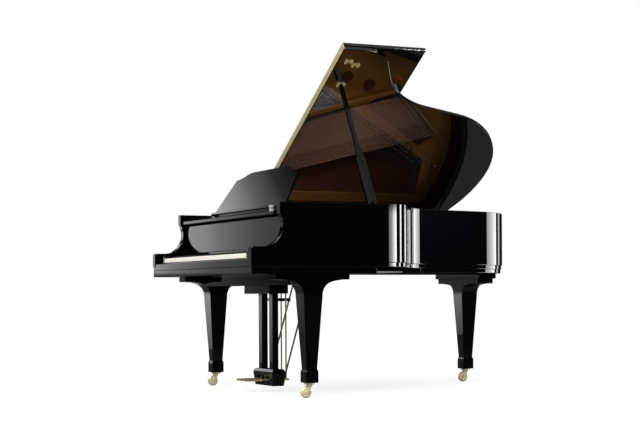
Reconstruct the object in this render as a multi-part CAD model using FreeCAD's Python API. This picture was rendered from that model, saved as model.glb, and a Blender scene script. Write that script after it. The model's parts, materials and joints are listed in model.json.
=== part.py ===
"""Grand piano, lid raised on its long prop and front flap folded back.

Units are millimetres. X runs from bass to treble, Y from the player to the tail, Z up.
While modelling, Y is measured from the fronts of the arms and Z from the floor; every
finished piece is then moved so that the origin lies on the floor under the middle.
"""
import FreeCAD
import Part
import math
import os

V = FreeCAD.Vector
X_AXIS = V(1, 0, 0)
Y_AXIS = V(0, 1, 0)
Z_AXIS = V(0, 0, 1)

# Case: plan outline, walls and levels
case_width = 1486.0
case_length = 1972.0
rim_wall = 40.0
rim_height = 300.0
base_height = 22.0
shoulder_start = 763.0
shoulder_turn = 62.0
shoulder_ratio = 0.1171
waist_lead_ratio = 0.0626
waist_ratio = 0.3573
tail_ratio = 0.3762
tail_place_ratio = 0.2988
tail_return_ratio = 0.5316
tail_return_heading = 113.0
tail_corner_ratio = 0.0740
glue_line = 0.3
running_gap = 0.3
bore_gap = 0.4
rod_side_count = 16

# Arms: the rim's front ends, cut to a scroll
arm_rise = 19.0
arm_nose_radius = 14.0
scroll_radius = 109.0
scroll_depth = 173.0
scroll_return = 17.0

# Lower case: keybed, base band, inner rim and framing
keybed_top = 664.0
keybed_thickness = 37.0
keybed_front = 4.0
keybed_overrun = 35.0
keybed_inset = 3.0
base_inset = 6.0
inner_rim_wall = 45.0
soundboard_rise = 134.0
belly_setback = 45.0
belly_depth = 40.0
brace_width = 60.0
brace_height = 90.0
brace_clearance = 6.0
brace_headings = (16.0, 2.0, -13.0)
brace_root_ratios = (-0.2423, -0.0269, 0.175)

# Soundboard, ribs and bridges
soundboard_thickness = 8.5
rib_width = 24.0
rib_height = 22.0
rib_count = 8
rib_pitch = 145.0
rib_heading = 38.0
bridge_width = 30.0
bridge_end = 22.0
tongue_reach = 46.0
tongue_start_inset = 273.0
tongue_full_inset = 143.0

# Iron plate and pin block
plate_thickness = 14.0
plate_rim_gap = 4.0
plate_front_gap = 2.0
plate_web_lip = 5.0
pin_block_height = 36.0
pin_block_set_back = 15.0
pin_block_bevel_run = 43.0
pin_block_bevel_rise = 20.0
spine_flange = 60.0
treble_flange = 52.0
plate_bridge_gap = 14.0
hitch_web_width = 60.0
plate_hole_diameter = 80.0
plate_hole_inset = 209.0
plate_hole_ratios = (0.14, 0.37, 0.845, 1.084)
strut_width = 18.0
strut_rise = 55.5
strut_clearance = 6.0
strut_foot = 40.0
hitch_pad_height = 26.0
capo_depth = 12.0
capo_rise = 24.0

# Strings: sections of the scale, counted from the lowest note
pin_field = 200.0
agraffe_slant = 50.0
agraffe_depth = 8.0
agraffe_gap = 4.4
string_rise = 25.5
string_margin_bass = 97.0
string_margin_treble = 89.4
section_first_notes = (1, 27, 51, 70)
section_gap_bass = 90.0
section_gap_treble = 44.0
note_count = 88
natural_count = 52
bass_notes = 26
top_note_length = 61.0
octave_stretch_ratio = 1.88
tenor_knee_octaves = 6.6
tenor_end_room = 255.4
bridge_clearance = 150.0
tenor_heading = -10.0
top_heading = 3.0
bass_end_room = 223.5
bass_shortening = 280.0
bass_heading = 16.0
bass_rise = 16.0
plain_radius = 0.6
wound_radius_low = 2.6
wound_radius_high = 1.4
hitch_offset = 46.0
hitch_clear = 5.0
tuning_pin_size = 6.5
tuning_pin_height = 47.5
tuning_pin_first = 32.0
tuning_pin_row = 30.0
tuning_pin_row_count = 4

# Keyboard
key_gap = 1.0
key_front = 26.0
key_tail_room = 80.0
key_rise = 68.0
key_height = 24.0
natural_head = 50.0
sharp_rise = 12.0
sharp_length = 95.0
sharp_slope = 6.0
sharp_side_room = 1.43
balance_setback = 224.0
balance_ridge = 12.0
balance_rail_width = 36.0
front_rail_setback = 8.0
front_rail_width = 60.0
back_rail_lap = 80.0
back_rail_width = 70.0
key_rail_gap = 0.5
key_frame_inset = 53.0
frame_bar_width = 30.0
frame_bar_height = 18.0

# Action: hammers, their rail and the dampers
strike_setback = 39.0
hammer_drop = 96.0
hammer_reach = 130.0
hammer_blow = 22.5
strike_gap = 0.6
shank_thickness = 6.0
shank_tail = 8.0
hammer_gap = 3.4
head_depth = 18.0
hammer_rail_gap = 0.8
hammer_rail_depth = 24.0
hammer_rail_height = 28.0
bracket_inset = 72.0
bracket_width = 18.0
damper_last_note = 66
damper_setback = 16.0
damper_depth = 31.0
damper_gap = 3.4
damper_height = 34.0
damper_rest_gap = 0.3
damper_wire = 1.6
damper_wire_inset = 0.1
damper_tray_drop = 46.0
damper_tray_height = 12.0
damper_tray_depth = 21.0
guide_rail_drop = 20.0
guide_rail_height = 12.0
guide_rail_depth = 13.0

# Key slip, key blocks, name rail, stretcher
key_slip_front = 3.0
key_slip_depth = 19.0
key_slip_rise = 39.0
key_block_width = 86.0
key_block_gap = 4.7
key_block_depth = 170.0
key_block_rise = 12.0
key_block_radius = 12.0
name_rail_setback = 18.0
name_rail_depth = 14.0
name_rail_lift = 7.0
name_rail_height = 16.0
stretcher_setback = 56.0
stretcher_depth = 36.0
stretcher_rise = 32.0

# Fallboard, opened upright
fallboard_head_gap = 4.0
fallboard_lead = 24.0
fallboard_lean = 6.0
fallboard_thickness = 18.0
fallboard_roll_radius = 80.0
fallboard_foot_gap = 5.0
fallboard_end_gap = 8.0
fallboard_plate = 2.5
fallboard_pivot_lead = 2.0
fallboard_pivot_rise = 6.0
fallboard_pin_diameter = 9.0
fallboard_pin_gap = 0.6
fallboard_ear_radius = 9.0

# Music shelf, its rails, the desk and its two props
shelf_setback = 2.0
shelf_depth = 322.0
shelf_inset = 31.0
shelf_drop = 56.0
shelf_thickness = 14.0
shelf_corner = 18.0
shelf_rail_setback = 82.0
shelf_rail_length = 320.0
shelf_rail_height = 18.0
shelf_rail_overlap = 16.0
desk_setback = 125.0
desk_axis_height = 22.0
desk_elevation = 59.5
desk_thickness = 14.0
desk_margin = 167.0
desk_shoulder_inset = 79.0
desk_shoulder_height = 236.0
desk_crown_height = 275.0
desk_crown_inset = 211.0
desk_heel = 8.0
desk_lip_depth = 20.0
desk_lip_height = 12.0
desk_pin_diameter = 8.0
desk_lug_width = 15.0
desk_lug_gap = 1.5
desk_lug_half_depth = 13.0
desk_prop_inset = 255.0
desk_prop_station = 150.0
desk_prop_offset = 11.6
desk_prop_width = 14.0
desk_prop_thickness = 8.0
desk_prop_angle = 52.0

# Lid, flap and their hinges, drawn closed and then turned open
lid_gap = 4.0
lid_thickness = 20.0
lid_overhang = 11.0
lid_open_angle = 32.65
lid_front = 627.0
flap_depth = 495.0
lid_hinge_out = 5.0
lid_hinge_radius = 4.5
lid_pin_radius = 2.0
lid_leaf = 2.5
lid_leaf_reach = 32.0
lid_hinge_length = 96.0
lid_hinge_setback = 193.0
lid_hinge_tail_room = 412.0
flap_hinge_radius = 3.2
flap_hinge_lift = 3.0
flap_leaf = 2.0
flap_leaf_height = 12.0
flap_knuckle_count = 5
flap_knuckle_gap = 0.5

# Lid prop with the short prop nested in it
prop_lead = 51.0
prop_pivot_inset = 17.0
prop_pivot_drop = 51.0
prop_set_back = 210.0
prop_thickness = 18.0
prop_foot_width = 50.0
prop_stick_width = 19.0
prop_foot_length = 330.0
prop_neck_length = 75.0
prop_tip_gap = 1.9
prop_slot_width = 19.0
prop_slot_start = 55.0
prop_slot_head = 8.0
short_prop_side_gap = 0.7
short_prop_thickness = 15.0
short_prop_end_gap = 6.0
short_prop_pin_rise = 15.0
short_pin_diameter = 5.0
prop_pin_diameter = 8.0
prop_ear = 3.0
prop_ear_gap = 0.8
prop_bracket_plate = 5.0
prop_bracket_height = 60.0
socket_base = 2.0
socket_lobe = 11.0
socket_lobe_height = 9.0
socket_opening = 22.0
socket_length = 26.0
spare_socket_steps = ((187.0, -27.0), (163.0, 21.0))

# Legs and tail leg plates
leg_top_width = 105.0
leg_foot_width = 60.0
leg_head = 107.0
cove_ratio = 0.886
ankle_height = 68.5
ankle_width = 70.0
ankle_bevel = 10.0
cap_thickness = 28.0
cap_half_length = 204.0
cap_lip = 14.0
front_leg_inset = 88.0
front_leg_y = 352.0
tail_leg_shift = 7.0
tail_leg_inset = 160.0
tail_cap_half_length = 235.0
tail_block_margin = 24.0
tail_block_height = 30.0
tail_plate_height = 22.0
tail_plate_depth = 817.0
tail_plate_inset = 10.0

# Casters
caster_wheel_radius = 29.0
caster_wheel_width = 22.0
caster_hub_radius = 11.0
caster_trail = 20.0
caster_cheek = 4.0
caster_cheek_gap = 0.8
caster_crown = 8.0
caster_crown_radius = 27.0
caster_axle_radius = 4.0
caster_fork_room = 11.1
caster_top_gap = 0.4
caster_side_count = 32

# Lyre: block, posts, pedal box, pedals, rods and braces
lyre_board_front = 259.0
lyre_board_depth = 190.0
lyre_board_thickness = 53.0
lyre_board_inset = 101.0
lyre_block_half = 176.0
lyre_block_setback = 77.0
lyre_block_depth = 111.0
lyre_block_height = 45.0
lyre_post_x = 73.0
lyre_post_width = 48.0
lyre_post_depth = 35.0
lyre_post_setback = 52.0
pedal_box_half = 134.0
pedal_box_lead = 18.0
pedal_box_depth = 80.0
pedal_box_bottom = 32.0
pedal_box_height = 90.0
pedal_box_bevel = 14.0
pedal_box_foot = 18.0
pedal_pitch = 62.0
pedal_reach = 126.0
pedal_overrun = 46.0
pedal_pivot_setback = 30.0
pedal_rise = 32.0
pedal_thickness = 10.0
pedal_stem_width = 22.0
pedal_toe_width = 44.0
pedal_toe_length = 74.0
pedal_pin_diameter = 8.0
pedal_slot_width = 28.0
pedal_slot_height = 44.0
pedal_rod_inset = 14.0
pedal_rod_diameter = 8.0
pedal_rod_travel_room = 9.0
lyre_brace_x = 104.0
lyre_brace_diameter = 10.0
lyre_brace_rise = 30.0
lyre_brace_lean = 16.1

# Plan values that follow from the ones above
half_width = case_width / 2.0
inner_half = half_width - rim_wall
shoulder_radius = case_width * shoulder_ratio
waist_lead = case_width * waist_lead_ratio
waist_radius = case_width * waist_ratio
tail_radius = case_width * tail_ratio
tail_return_radius = case_width * tail_return_ratio
tail_corner_radius = case_width * tail_corner_ratio
rim_front = scroll_depth - scroll_return
key_block_inner = inner_half - key_block_width
key_block_back = key_front + key_block_depth
natural_pitch = 2.0 * (key_block_inner - key_block_gap) / natural_count
sharp_width = natural_pitch * 4.0 / 7.0 - 2.0 * sharp_side_room
name_rail_front = key_block_back + name_rail_setback
stretcher_front = name_rail_front + name_rail_depth + stretcher_setback
pin_block_front = stretcher_front + stretcher_depth
plate_front = pin_block_front + plate_front_gap
agraffe_treble_end = pin_block_front + pin_field
agraffe_bass_end = agraffe_treble_end - agraffe_slant
pin_block_back = agraffe_treble_end - pin_block_set_back
strike_line = agraffe_treble_end + strike_setback
hammer_pivot_y = strike_line - hammer_reach
damper_front = strike_line + damper_setback
belly_front = damper_front + belly_setback
treble_tongue = belly_front - tongue_reach
treble_tongue_start = inner_half - tongue_start_inset
treble_tongue_full = inner_half - tongue_full_inset
damper_wire_y = belly_front - guide_rail_depth - running_gap - damper_wire
keybed_depth = belly_front + belly_depth + keybed_overrun - keybed_front
key_rear = belly_front - key_tail_room
balance_line = key_front + balance_setback
front_rail_front = key_front + front_rail_setback
back_rail_front = key_rear - back_rail_lap
key_frame_reach = inner_half - key_frame_inset
bracket_x = inner_half - bracket_inset
first_string_x = string_margin_bass - inner_half
last_string_x = inner_half - string_margin_treble
section_gaps = section_gap_bass + section_gap_treble * (len(section_first_notes) - 2)
string_steps = note_count - len(section_first_notes)
string_pitch = (last_string_x - first_string_x - section_gaps) / string_steps
agraffe_width = string_pitch - agraffe_gap
hammer_width = string_pitch - hammer_gap
damper_width = string_pitch - damper_gap
damper_wire_side = damper_width / 2.0 - damper_wire_inset
bass_run = case_length - bass_end_room - agraffe_bass_end
bass_longest = bass_run / math.cos(math.radians(bass_heading))
bass_shortest = bass_longest - bass_shortening
fallboard_face = name_rail_front - fallboard_lead
fallboard_pivot_y = name_rail_front - fallboard_pivot_lead
shelf_front = rim_front + shelf_setback
shelf_width = 2.0 * (inner_half - shelf_inset)
shelf_rail_front = shelf_front + shelf_rail_setback
desk_axis_y = shelf_front + desk_setback
desk_half_foot = shelf_width / 2.0 - desk_margin
desk_half_shoulder = desk_half_foot - desk_shoulder_inset
desk_half_crown = desk_half_shoulder - desk_crown_inset
desk_prop_x = desk_half_foot - desk_prop_inset
flap_front = lid_front - flap_depth
lid_hinge_stations = (lid_front + lid_hinge_setback, case_length - lid_hinge_tail_room)
lid_axis_x = -half_width - lid_hinge_out
flap_axis_y = lid_front - flap_hinge_lift
prop_y = shoulder_start - prop_lead
prop_pivot_x = inner_half - prop_pivot_inset
prop_contact = prop_pivot_x - lid_axis_x - prop_set_back
prop_slot_end = prop_foot_length - prop_slot_head
short_prop_width = prop_slot_width - 2.0 * short_prop_side_gap
short_prop_end = prop_slot_end - short_prop_end_gap
short_prop_pin = prop_slot_start + short_prop_pin_rise
front_leg_x = half_width - front_leg_inset
tail_leg_y = case_length - tail_leg_inset
tail_plate_front = case_length - tail_plate_depth
lyre_board_half = inner_half - lyre_board_inset
lyre_block_front = lyre_board_front + lyre_block_setback
lyre_post_front = lyre_block_front + lyre_post_setback
pedal_box_front = lyre_post_front - pedal_box_lead
pedal_tip = pedal_box_front - pedal_reach
pedal_end = pedal_box_front + pedal_box_depth + pedal_overrun
pedal_pivot_y = pedal_box_front + pedal_pivot_setback
pedal_rod_y = pedal_end - pedal_rod_inset

# Levels that follow from the ones above
keybed_bottom = keybed_top - keybed_thickness
rim_bottom = keybed_top + base_height
rim_top = rim_bottom + rim_height
soundboard_seat = rim_bottom + soundboard_rise
soundboard_top = soundboard_seat + soundboard_thickness
plate_top = soundboard_top + plate_thickness
string_level = plate_top + string_rise
strut_top = plate_top + strut_rise
strut_underside = string_level + strut_clearance
capo_top = string_level + capo_rise
tuning_pin_top = plate_top + tuning_pin_height
stretcher_top = string_level + stretcher_rise
key_top = keybed_top + key_rise
key_bottom = key_top - key_height
key_rail_top = key_bottom - key_rail_gap
key_slip_top = keybed_top + key_slip_rise
key_block_top = key_top + key_block_rise
arm_top = key_block_top + arm_rise
name_rail_bottom = key_top + name_rail_lift
hammer_pivot_z = string_level - hammer_drop
damper_tray_top = soundboard_seat - damper_tray_drop
guide_rail_bottom = soundboard_seat - guide_rail_drop
shelf_bottom = rim_top - shelf_drop
shelf_top = shelf_bottom + shelf_thickness
desk_axis_z = shelf_top + desk_axis_height
fallboard_top = shelf_bottom - fallboard_head_gap
fallboard_bottom = name_rail_bottom + name_rail_height + fallboard_foot_gap
fallboard_pivot_z = fallboard_bottom + fallboard_pivot_rise
lid_axis_z = rim_top + lid_hinge_radius
lid_under = rim_top + lid_gap
lid_top = lid_under + lid_thickness
flap_axis_z = lid_top + flap_hinge_lift
prop_pivot_z = rim_top - prop_pivot_drop
leg_bottom = 2.0 * caster_wheel_radius + caster_fork_room + caster_crown + caster_top_gap
leg_shaft_bottom = leg_bottom + ankle_height
leg_shaft_top = keybed_bottom - leg_head
lyre_board_bottom = keybed_bottom - lyre_board_thickness
pedal_box_top = pedal_box_bottom + pedal_box_height
pedal_level = pedal_box_bottom + pedal_rise
lyre_brace_low = pedal_box_bottom + lyre_brace_rise


def box(x0, x1, y0, y1, z0, z1):
    return Part.makeBox(x1 - x0, y1 - y0, z1 - z0, V(x0, y0, z0))


def fused(shapes):
    return shapes[0].multiFuse(shapes[1:]).removeSplitter() if len(shapes) > 1 else shapes[0]


def profile(edges, sweep):
    """Solid swept from a closed chain of edges."""
    return Part.Face(Part.Wire(edges)).extrude(sweep)


def polygon(points, sweep):
    return Part.Face(Part.makePolygon(points + [points[0]])).extrude(sweep)


def side_polygon(pairs, x0, x1):
    """Prism along X over (y, z) corners."""
    return polygon([V(x0, y, z) for y, z in pairs], V(x1 - x0, 0, 0))


def line(a, b):
    return Part.LineSegment(a, b).toShape()


def arc(a, middle, b):
    return Part.Arc(a, middle, b).toShape()


def bends(points):
    """Chain of arcs through an odd number of points, each arc taking three."""
    edges = []
    for a, middle, b in zip(points[::2], points[1::2], points[2::2]):
        bow = middle.distanceToLine(a, b - a)
        edges.append(arc(a, middle, b) if bow > 0.01 else line(a, b))
    return edges


def ogee(a, b, along):
    """Two equal arcs that leave a and reach b in the direction along."""
    chord = b - a
    across = chord - along * chord.dot(along)
    radius = chord.Length ** 2 / (4.0 * across.Length)
    side = across.normalize()
    half_turn = math.asin(chord.dot(along) / 2.0 / radius) / 2.0
    sag = side * (radius * (1.0 - math.cos(half_turn))) + along * (radius * math.sin(half_turn))
    middle = (a + b) * 0.5
    return [arc(a, a + sag, middle), arc(middle, b - sag, b)]


def ring(count, radius):
    """Corners of a regular figure in the XY plane."""
    turns = [2.0 * math.pi * k / count for k in range(count)]
    return [V(radius * math.cos(t), radius * math.sin(t), 0) for t in turns]


def tapered(rings):
    """Flat-sided solid through closed rings of corners, listed from the bottom up."""
    faces = [Part.Face(Part.makePolygon(ring + ring[:1])) for ring in (rings[0], rings[-1])]
    for low, high in zip(rings, rings[1:]):
        for k in range(len(low)):
            n = (k + 1) % len(low)
            faces.append(Part.Face(Part.makePolygon([low[k], low[n], high[n], high[k], low[k]])))
    solid = Part.Solid(Part.Shell(faces))
    if solid.Volume < 0.0:
        solid.reverse()
    return solid


def rod(radius, start, end):
    """Many-sided round bar between two points, for pins, barrels and bores."""
    run = end - start
    bar = polygon(ring(rod_side_count, radius), V(0, 0, run.Length))
    bar.Placement = FreeCAD.Placement(start, FreeCAD.Rotation(Z_AXIS, run))
    return bar


def turned(shape, angle, axis, centre):
    copy = shape.copy()
    copy.rotate(centre, axis, angle)
    return copy


def moved(shape, offset):
    copy = shape.copy()
    copy.translate(offset)
    return copy


def mirrored(shape):
    return shape.mirror(V(0, 0, 0), X_AXIS)


# Plan outline: straight treble side, shoulder, waist, tail and straight spine

def heading(angle):
    """Direction in plan, turned from the tail direction towards the bass."""
    return V(-math.sin(math.radians(angle)), math.cos(math.radians(angle)), 0)


def inward(angle):
    return V(-math.cos(math.radians(angle)), -math.sin(math.radians(angle)), 0)


def outline_frame(waist_heading):
    """Centres of the outline's arcs, each placed by the arc before it."""
    shoulder = V(half_width - shoulder_radius, shoulder_start, 0)
    lead_end = shoulder - inward(shoulder_turn) * shoulder_radius + heading(shoulder_turn) * waist_lead
    waist = lead_end - inward(shoulder_turn) * waist_radius
    waist_end = waist + inward(waist_heading) * waist_radius
    run = case_length - tail_radius - waist_end.y - inward(waist_heading).y * tail_radius
    run_end = waist_end + heading(waist_heading) * (run / heading(waist_heading).y)
    tail = run_end + inward(waist_heading) * tail_radius
    back = V(tail.x, case_length - tail_return_radius, 0)
    back_end = back - inward(tail_return_heading) * tail_return_radius
    reach = back_end.x + inward(tail_return_heading).x * tail_corner_radius
    corner_x = tail_corner_radius - half_width
    slant = heading(tail_return_heading) * ((corner_x - reach) / heading(tail_return_heading).x)
    corner = back_end + slant + inward(tail_return_heading) * tail_corner_radius
    return shoulder, waist, tail, back, corner


def found_waist_heading():
    """Heading of the tail side that brings the tail's arc to its place from the spine."""
    place = case_width * tail_place_ratio - half_width
    low = 0.0
    high = shoulder_turn
    for step in range(40):
        middle = (low + high) / 2.0
        if outline_frame(middle)[2].x > place:
            low = middle
        else:
            high = middle
    return low


waist_heading = found_waist_heading()
shoulder_centre, waist_centre, tail_centre, back_centre, corner_centre = outline_frame(waist_heading)
tail_leg_x = tail_centre.x - tail_leg_shift


def outline_edges(inset, start):
    """Treble front to spine front, moved inwards by inset, both ends at Y = start."""
    bends = (
        (shoulder_centre, shoulder_radius - inset, 0.0, shoulder_turn, -1.0),
        (waist_centre, waist_radius + inset, shoulder_turn, waist_heading, 1.0),
        (tail_centre, tail_radius - inset, waist_heading, 90.0, -1.0),
        (back_centre, tail_return_radius - inset, 90.0, tail_return_heading, -1.0),
        (corner_centre, tail_corner_radius - inset, tail_return_heading, 180.0, -1.0),
    )
    edges = []
    here = V(half_width - inset, start, 0)
    for centre, radius, first, last, side in bends:
        a, m, b = [centre + inward(t) * (side * radius) for t in (first, (first + last) / 2.0, last)]
        if here.distanceToPoint(a) > 0.001:
            edges.append(line(here, a))
        edges.append(arc(a, m, b))
        here = b
    edges.append(line(here, V(inset - half_width, start, 0)))
    return edges


def outline_solid(inset, start, z0, z1):
    edges = outline_edges(inset, start)
    edges.append(line(V(inset - half_width, start, 0), V(half_width - inset, start, 0)))
    return moved(profile(edges, V(0, 0, z1 - z0)), V(0, 0, z0))


def outline_band(outer, inner, start, z0, z1):
    cut_start = start - rim_wall
    return outline_solid(outer, start, z0, z1).cut(outline_solid(inner, cut_start, z0, z1))


# Case

def scroll_cut():
    """What is cut away in front of and above the arms' scroll."""
    centre_y = scroll_depth - scroll_radius
    centre_z = arm_top + scroll_radius
    shoulder_z = centre_z + math.sqrt(scroll_radius ** 2 - (rim_front - centre_y) ** 2)
    clear = rim_wall
    x = -case_width
    nose = arm_nose_radius
    nose_mid = nose * (1.0 - math.sqrt(0.5))
    edges = [
        line(V(x, -clear, rim_top + clear), V(x, rim_front, rim_top + clear)),
        line(V(x, rim_front, rim_top + clear), V(x, rim_front, shoulder_z)),
        arc(V(x, rim_front, shoulder_z), V(x, scroll_depth, centre_z), V(x, centre_y, arm_top)),
        line(V(x, centre_y, arm_top), V(x, nose, arm_top)),
        arc(V(x, nose, arm_top), V(x, nose_mid, arm_top - nose_mid), V(x, 0, arm_top - nose)),
        line(V(x, 0, arm_top - nose), V(x, -clear, arm_top - nose)),
        line(V(x, -clear, arm_top - nose), V(x, -clear, rim_top + clear)),
    ]
    return profile(edges, V(2.0 * case_width, 0, 0))


def make_rim():
    return outline_band(0.0, rim_wall, 0.0, rim_bottom, rim_top).cut(scroll_cut())


def make_rim_base():
    """Band under both rims; beside the keyboard, where there is no inner rim, it is narrower."""
    back = belly_front + belly_depth + glue_line
    front = outline_band(base_inset, rim_wall, key_slip_front, keybed_top, rim_bottom)
    rear = outline_band(base_inset, rim_wall + inner_rim_wall, back, keybed_top, rim_bottom)
    return front.fuse(rear).removeSplitter()


def make_inner_rim():
    start = belly_front + belly_depth
    outer = rim_wall + glue_line
    return outline_band(outer, outer + inner_rim_wall, start, rim_bottom, soundboard_seat)


def belly_edge(half):
    """Front edge of belly rail and soundboard; it comes forward to carry the bridge's treble end."""
    return [(-half, belly_front), (treble_tongue_start, belly_front),
            (treble_tongue_full, treble_tongue), (half, treble_tongue)]


def make_case_framing():
    """Belly rail and the braces that fan from it to the inner rim."""
    half = inner_half - glue_line
    back = belly_front + belly_depth
    corners = belly_edge(half) + [(half, back), (-half, back)]
    pieces = [polygon([V(x, y, keybed_top) for x, y in corners], V(0, 0, soundboard_seat - keybed_top))]
    room = outline_solid(rim_wall + inner_rim_wall + 2.0 * glue_line, back, rim_bottom, soundboard_seat)
    top = soundboard_seat - rib_height - brace_clearance
    for root, angle in zip(brace_root_ratios, brace_headings):
        half_beam = brace_width / 2.0
        beam = box(-half_beam, half_beam, -case_length, case_length, top - brace_height, top)
        beam = moved(turned(beam, angle, Z_AXIS, V(0, 0, 0)), V(case_width * root, back, 0))
        pieces.append(beam.common(room))
    return Part.makeCompound([solid for piece in pieces for solid in piece.Solids])


def make_keybed():
    half = half_width - keybed_inset
    bed = box(-half, half, keybed_front, keybed_front + keybed_depth, keybed_bottom, keybed_top)
    board_back = lyre_board_front + lyre_board_depth
    board = box(-lyre_board_half, lyre_board_half, lyre_board_front, board_back,
                lyre_board_bottom, keybed_bottom)
    return bed.fuse(board).removeSplitter()


def make_key_slip():
    half = inner_half - glue_line
    back = key_slip_front + key_slip_depth
    slip = box(-half, half, key_slip_front, back, keybed_top, key_slip_top)
    edges = [e for e in slip.Edges if e.BoundBox.ZMin > key_slip_top - 0.1 and e.BoundBox.XLength > half]
    return slip.makeFillet(key_slip_depth / 3.0, edges)


def make_key_blocks():
    outer = inner_half - glue_line
    block = box(key_block_inner, outer, key_front, key_block_back, keybed_top, key_block_top)
    tops = [e for e in block.Edges if e.BoundBox.ZMin > key_block_top - 0.1]
    block = block.makeFillet(key_block_radius, [e for e in tops if e.BoundBox.YMax < key_front + 0.1])
    return Part.makeCompound([block, mirrored(block)])


def make_name_rail():
    half = inner_half - glue_line
    back = name_rail_front + name_rail_depth
    return box(-half, half, name_rail_front, back, name_rail_bottom, name_rail_bottom + name_rail_height)


def make_stretcher():
    half = inner_half - glue_line
    bottom = soundboard_top - pin_block_height
    return box(-half, half, stretcher_front, stretcher_front + stretcher_depth, bottom, stretcher_top)


def make_pin_block():
    """Laminated block, bevelled beneath where the hammer shanks rise."""
    half = inner_half - glue_line
    front = pin_block_front
    bottom = soundboard_top - pin_block_height
    pairs = [(front, bottom), (pin_block_back - pin_block_bevel_run, bottom)]
    pairs += [(pin_block_back, bottom + pin_block_bevel_rise), (pin_block_back, soundboard_top)]
    pairs.append((front, soundboard_top))
    return side_polygon(pairs, -half, half)


# String scale

def is_bass(note):
    return note <= bass_notes


def string_x(note):
    """Place of a note's string on the agraffe line; each section break adds its gap."""
    breaks = [section_gap_bass] + [section_gap_treble] * (len(section_first_notes) - 2)
    passed = [gap for first, gap in zip(section_first_notes[1:], breaks) if note >= first]
    steps = note - 1 - len(passed)
    return first_string_x + steps * string_pitch + sum(passed)


def agraffe_y(note):
    """The agraffe line slants back towards the treble."""
    share = (string_x(note) - first_string_x) / (string_x(note_count) - first_string_x)
    return agraffe_bass_end + (agraffe_treble_end - agraffe_bass_end) * share


def string_heading(note):
    """Angle from the tail direction towards the treble."""
    if is_bass(note):
        return bass_heading
    share = (note - bass_notes - 1.0) / (note_count - bass_notes - 1.0)
    return tenor_heading + (top_heading - tenor_heading) * share


def free_length(note):
    """Length by the octave rule, held back towards the tenor's low end."""
    octaves = (note_count - note) / 12.0
    held_back = 1.0 + (octaves / tenor_knee_octaves) ** 6
    return top_note_length * octave_stretch_ratio ** octaves / held_back


def speaking_length(note):
    """Plain strings keep to the rule, stretched so that the longest of them ends at its place."""
    if is_bass(note):
        share = (note - 1.0) / (bass_notes - 1.0)
        return bass_longest + (bass_shortest - bass_longest) * share
    lowest = bass_notes + 1
    stretch = tenor_longest(lowest) / free_length(lowest)
    share = (note_count - note) / (note_count - lowest)
    return free_length(note) * (1.0 + (stretch - 1.0) * share)


def tenor_longest(lowest):
    """The longest plain string ends before the tail, and well in front of the bass bridge."""
    start = string_point(lowest, 0.0)
    direction = string_point(lowest, 1.0) - start
    behind = bridge_normal(bass_notes)
    by_tail = (case_length - tenor_end_room - start.y) / direction.y
    by_bridge = (string_end(bass_notes) - start).dot(behind) - bridge_clearance
    return min(by_tail, by_bridge / direction.dot(behind))


def string_radius(note):
    if is_bass(note):
        share = (note - 1.0) / (bass_notes - 1.0)
        return wound_radius_low + (wound_radius_high - wound_radius_low) * share
    return plain_radius


def string_point(note, distance):
    """Plan point on a note's line, measured from its agraffe."""
    angle = math.radians(string_heading(note))
    return V(string_x(note) + distance * math.sin(angle), agraffe_y(note) + distance * math.cos(angle), 0)


def string_end(note):
    return string_point(note, speaking_length(note))


def bridge_run(note):
    """Plan direction of the bridge under a note, towards the treble."""
    low, high = (1, bass_notes) if is_bass(note) else (bass_notes + 1, note_count)
    return (string_end(min(note + 1, high)) - string_end(max(note - 1, low))).normalize()


def bridge_normal(note):
    run = bridge_run(note)
    return V(-run.y, run.x, 0)


def beside_bridge(note, offset, along=0.0):
    """Plan point square off the bridge's middle line; positive offsets lie behind it."""
    return string_end(note) + bridge_normal(note) * offset + bridge_run(note) * along


def past_bridge(note, offset):
    """Distance along a string to where it lies square off the bridge by offset."""
    direction = string_point(note, 1.0) - string_point(note, 0.0)
    return speaking_length(note) + offset / direction.dot(bridge_normal(note))


def string_height(note, distance):
    """Underside of a note's string above the floor."""
    rise = bass_rise * distance / speaking_length(note) if is_bass(note) else 0.0
    return string_level + rise


def tuning_pin_distance(note):
    return -(tuning_pin_first + tuning_pin_row * (note % tuning_pin_row_count))


def make_string(note):
    start = tuning_pin_distance(note) + tuning_pin_size
    end = past_bridge(note, hitch_offset) - hitch_clear
    radius = string_radius(note)
    corners = []
    sides = 6 if is_bass(note) else 4
    for k in range(sides):
        turn = math.radians(360.0 / sides * (k + 0.5) if sides == 4 else 60.0 * k)
        corners.append(V(radius * math.cos(turn), start, radius * math.sin(turn)))
    tilt = math.degrees(math.atan2(bass_rise, speaking_length(note))) if is_bass(note) else 0.0
    string = polygon(corners, V(0, end - start, 0))
    string = turned(string, tilt, X_AXIS, V(0, 0, 0))
    string = turned(string, -string_heading(note), Z_AXIS, V(0, 0, 0))
    lift = radius * math.cos(math.pi / sides)
    return moved(string, V(string_x(note), agraffe_y(note), string_level + lift))


def make_strings(notes):
    return Part.makeCompound([make_string(note) for note in notes])


def make_tuning_pins():
    pins = []
    half = tuning_pin_size / 2.0
    for note in range(1, note_count + 1):
        pin = box(-half, half, -half, half, plate_top, tuning_pin_top)
        pin = turned(pin, -string_heading(note), Z_AXIS, V(0, 0, 0))
        pins.append(moved(pin, string_point(note, tuning_pin_distance(note))))
    return Part.makeCompound(pins)


def make_agraffes():
    """Studs under the strings of the two lower sections; the upper two pass under the capo bars."""
    studs = []
    half = agraffe_width / 2.0
    for note in range(1, section_first_notes[2]):
        x = string_x(note)
        back = agraffe_y(note) + agraffe_depth / 2.0
        level = string_height(note, -agraffe_depth)
        studs.append(box(x - half, x + half, back - agraffe_depth, back, plate_top, level))
    return Part.makeCompound(studs)


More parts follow.
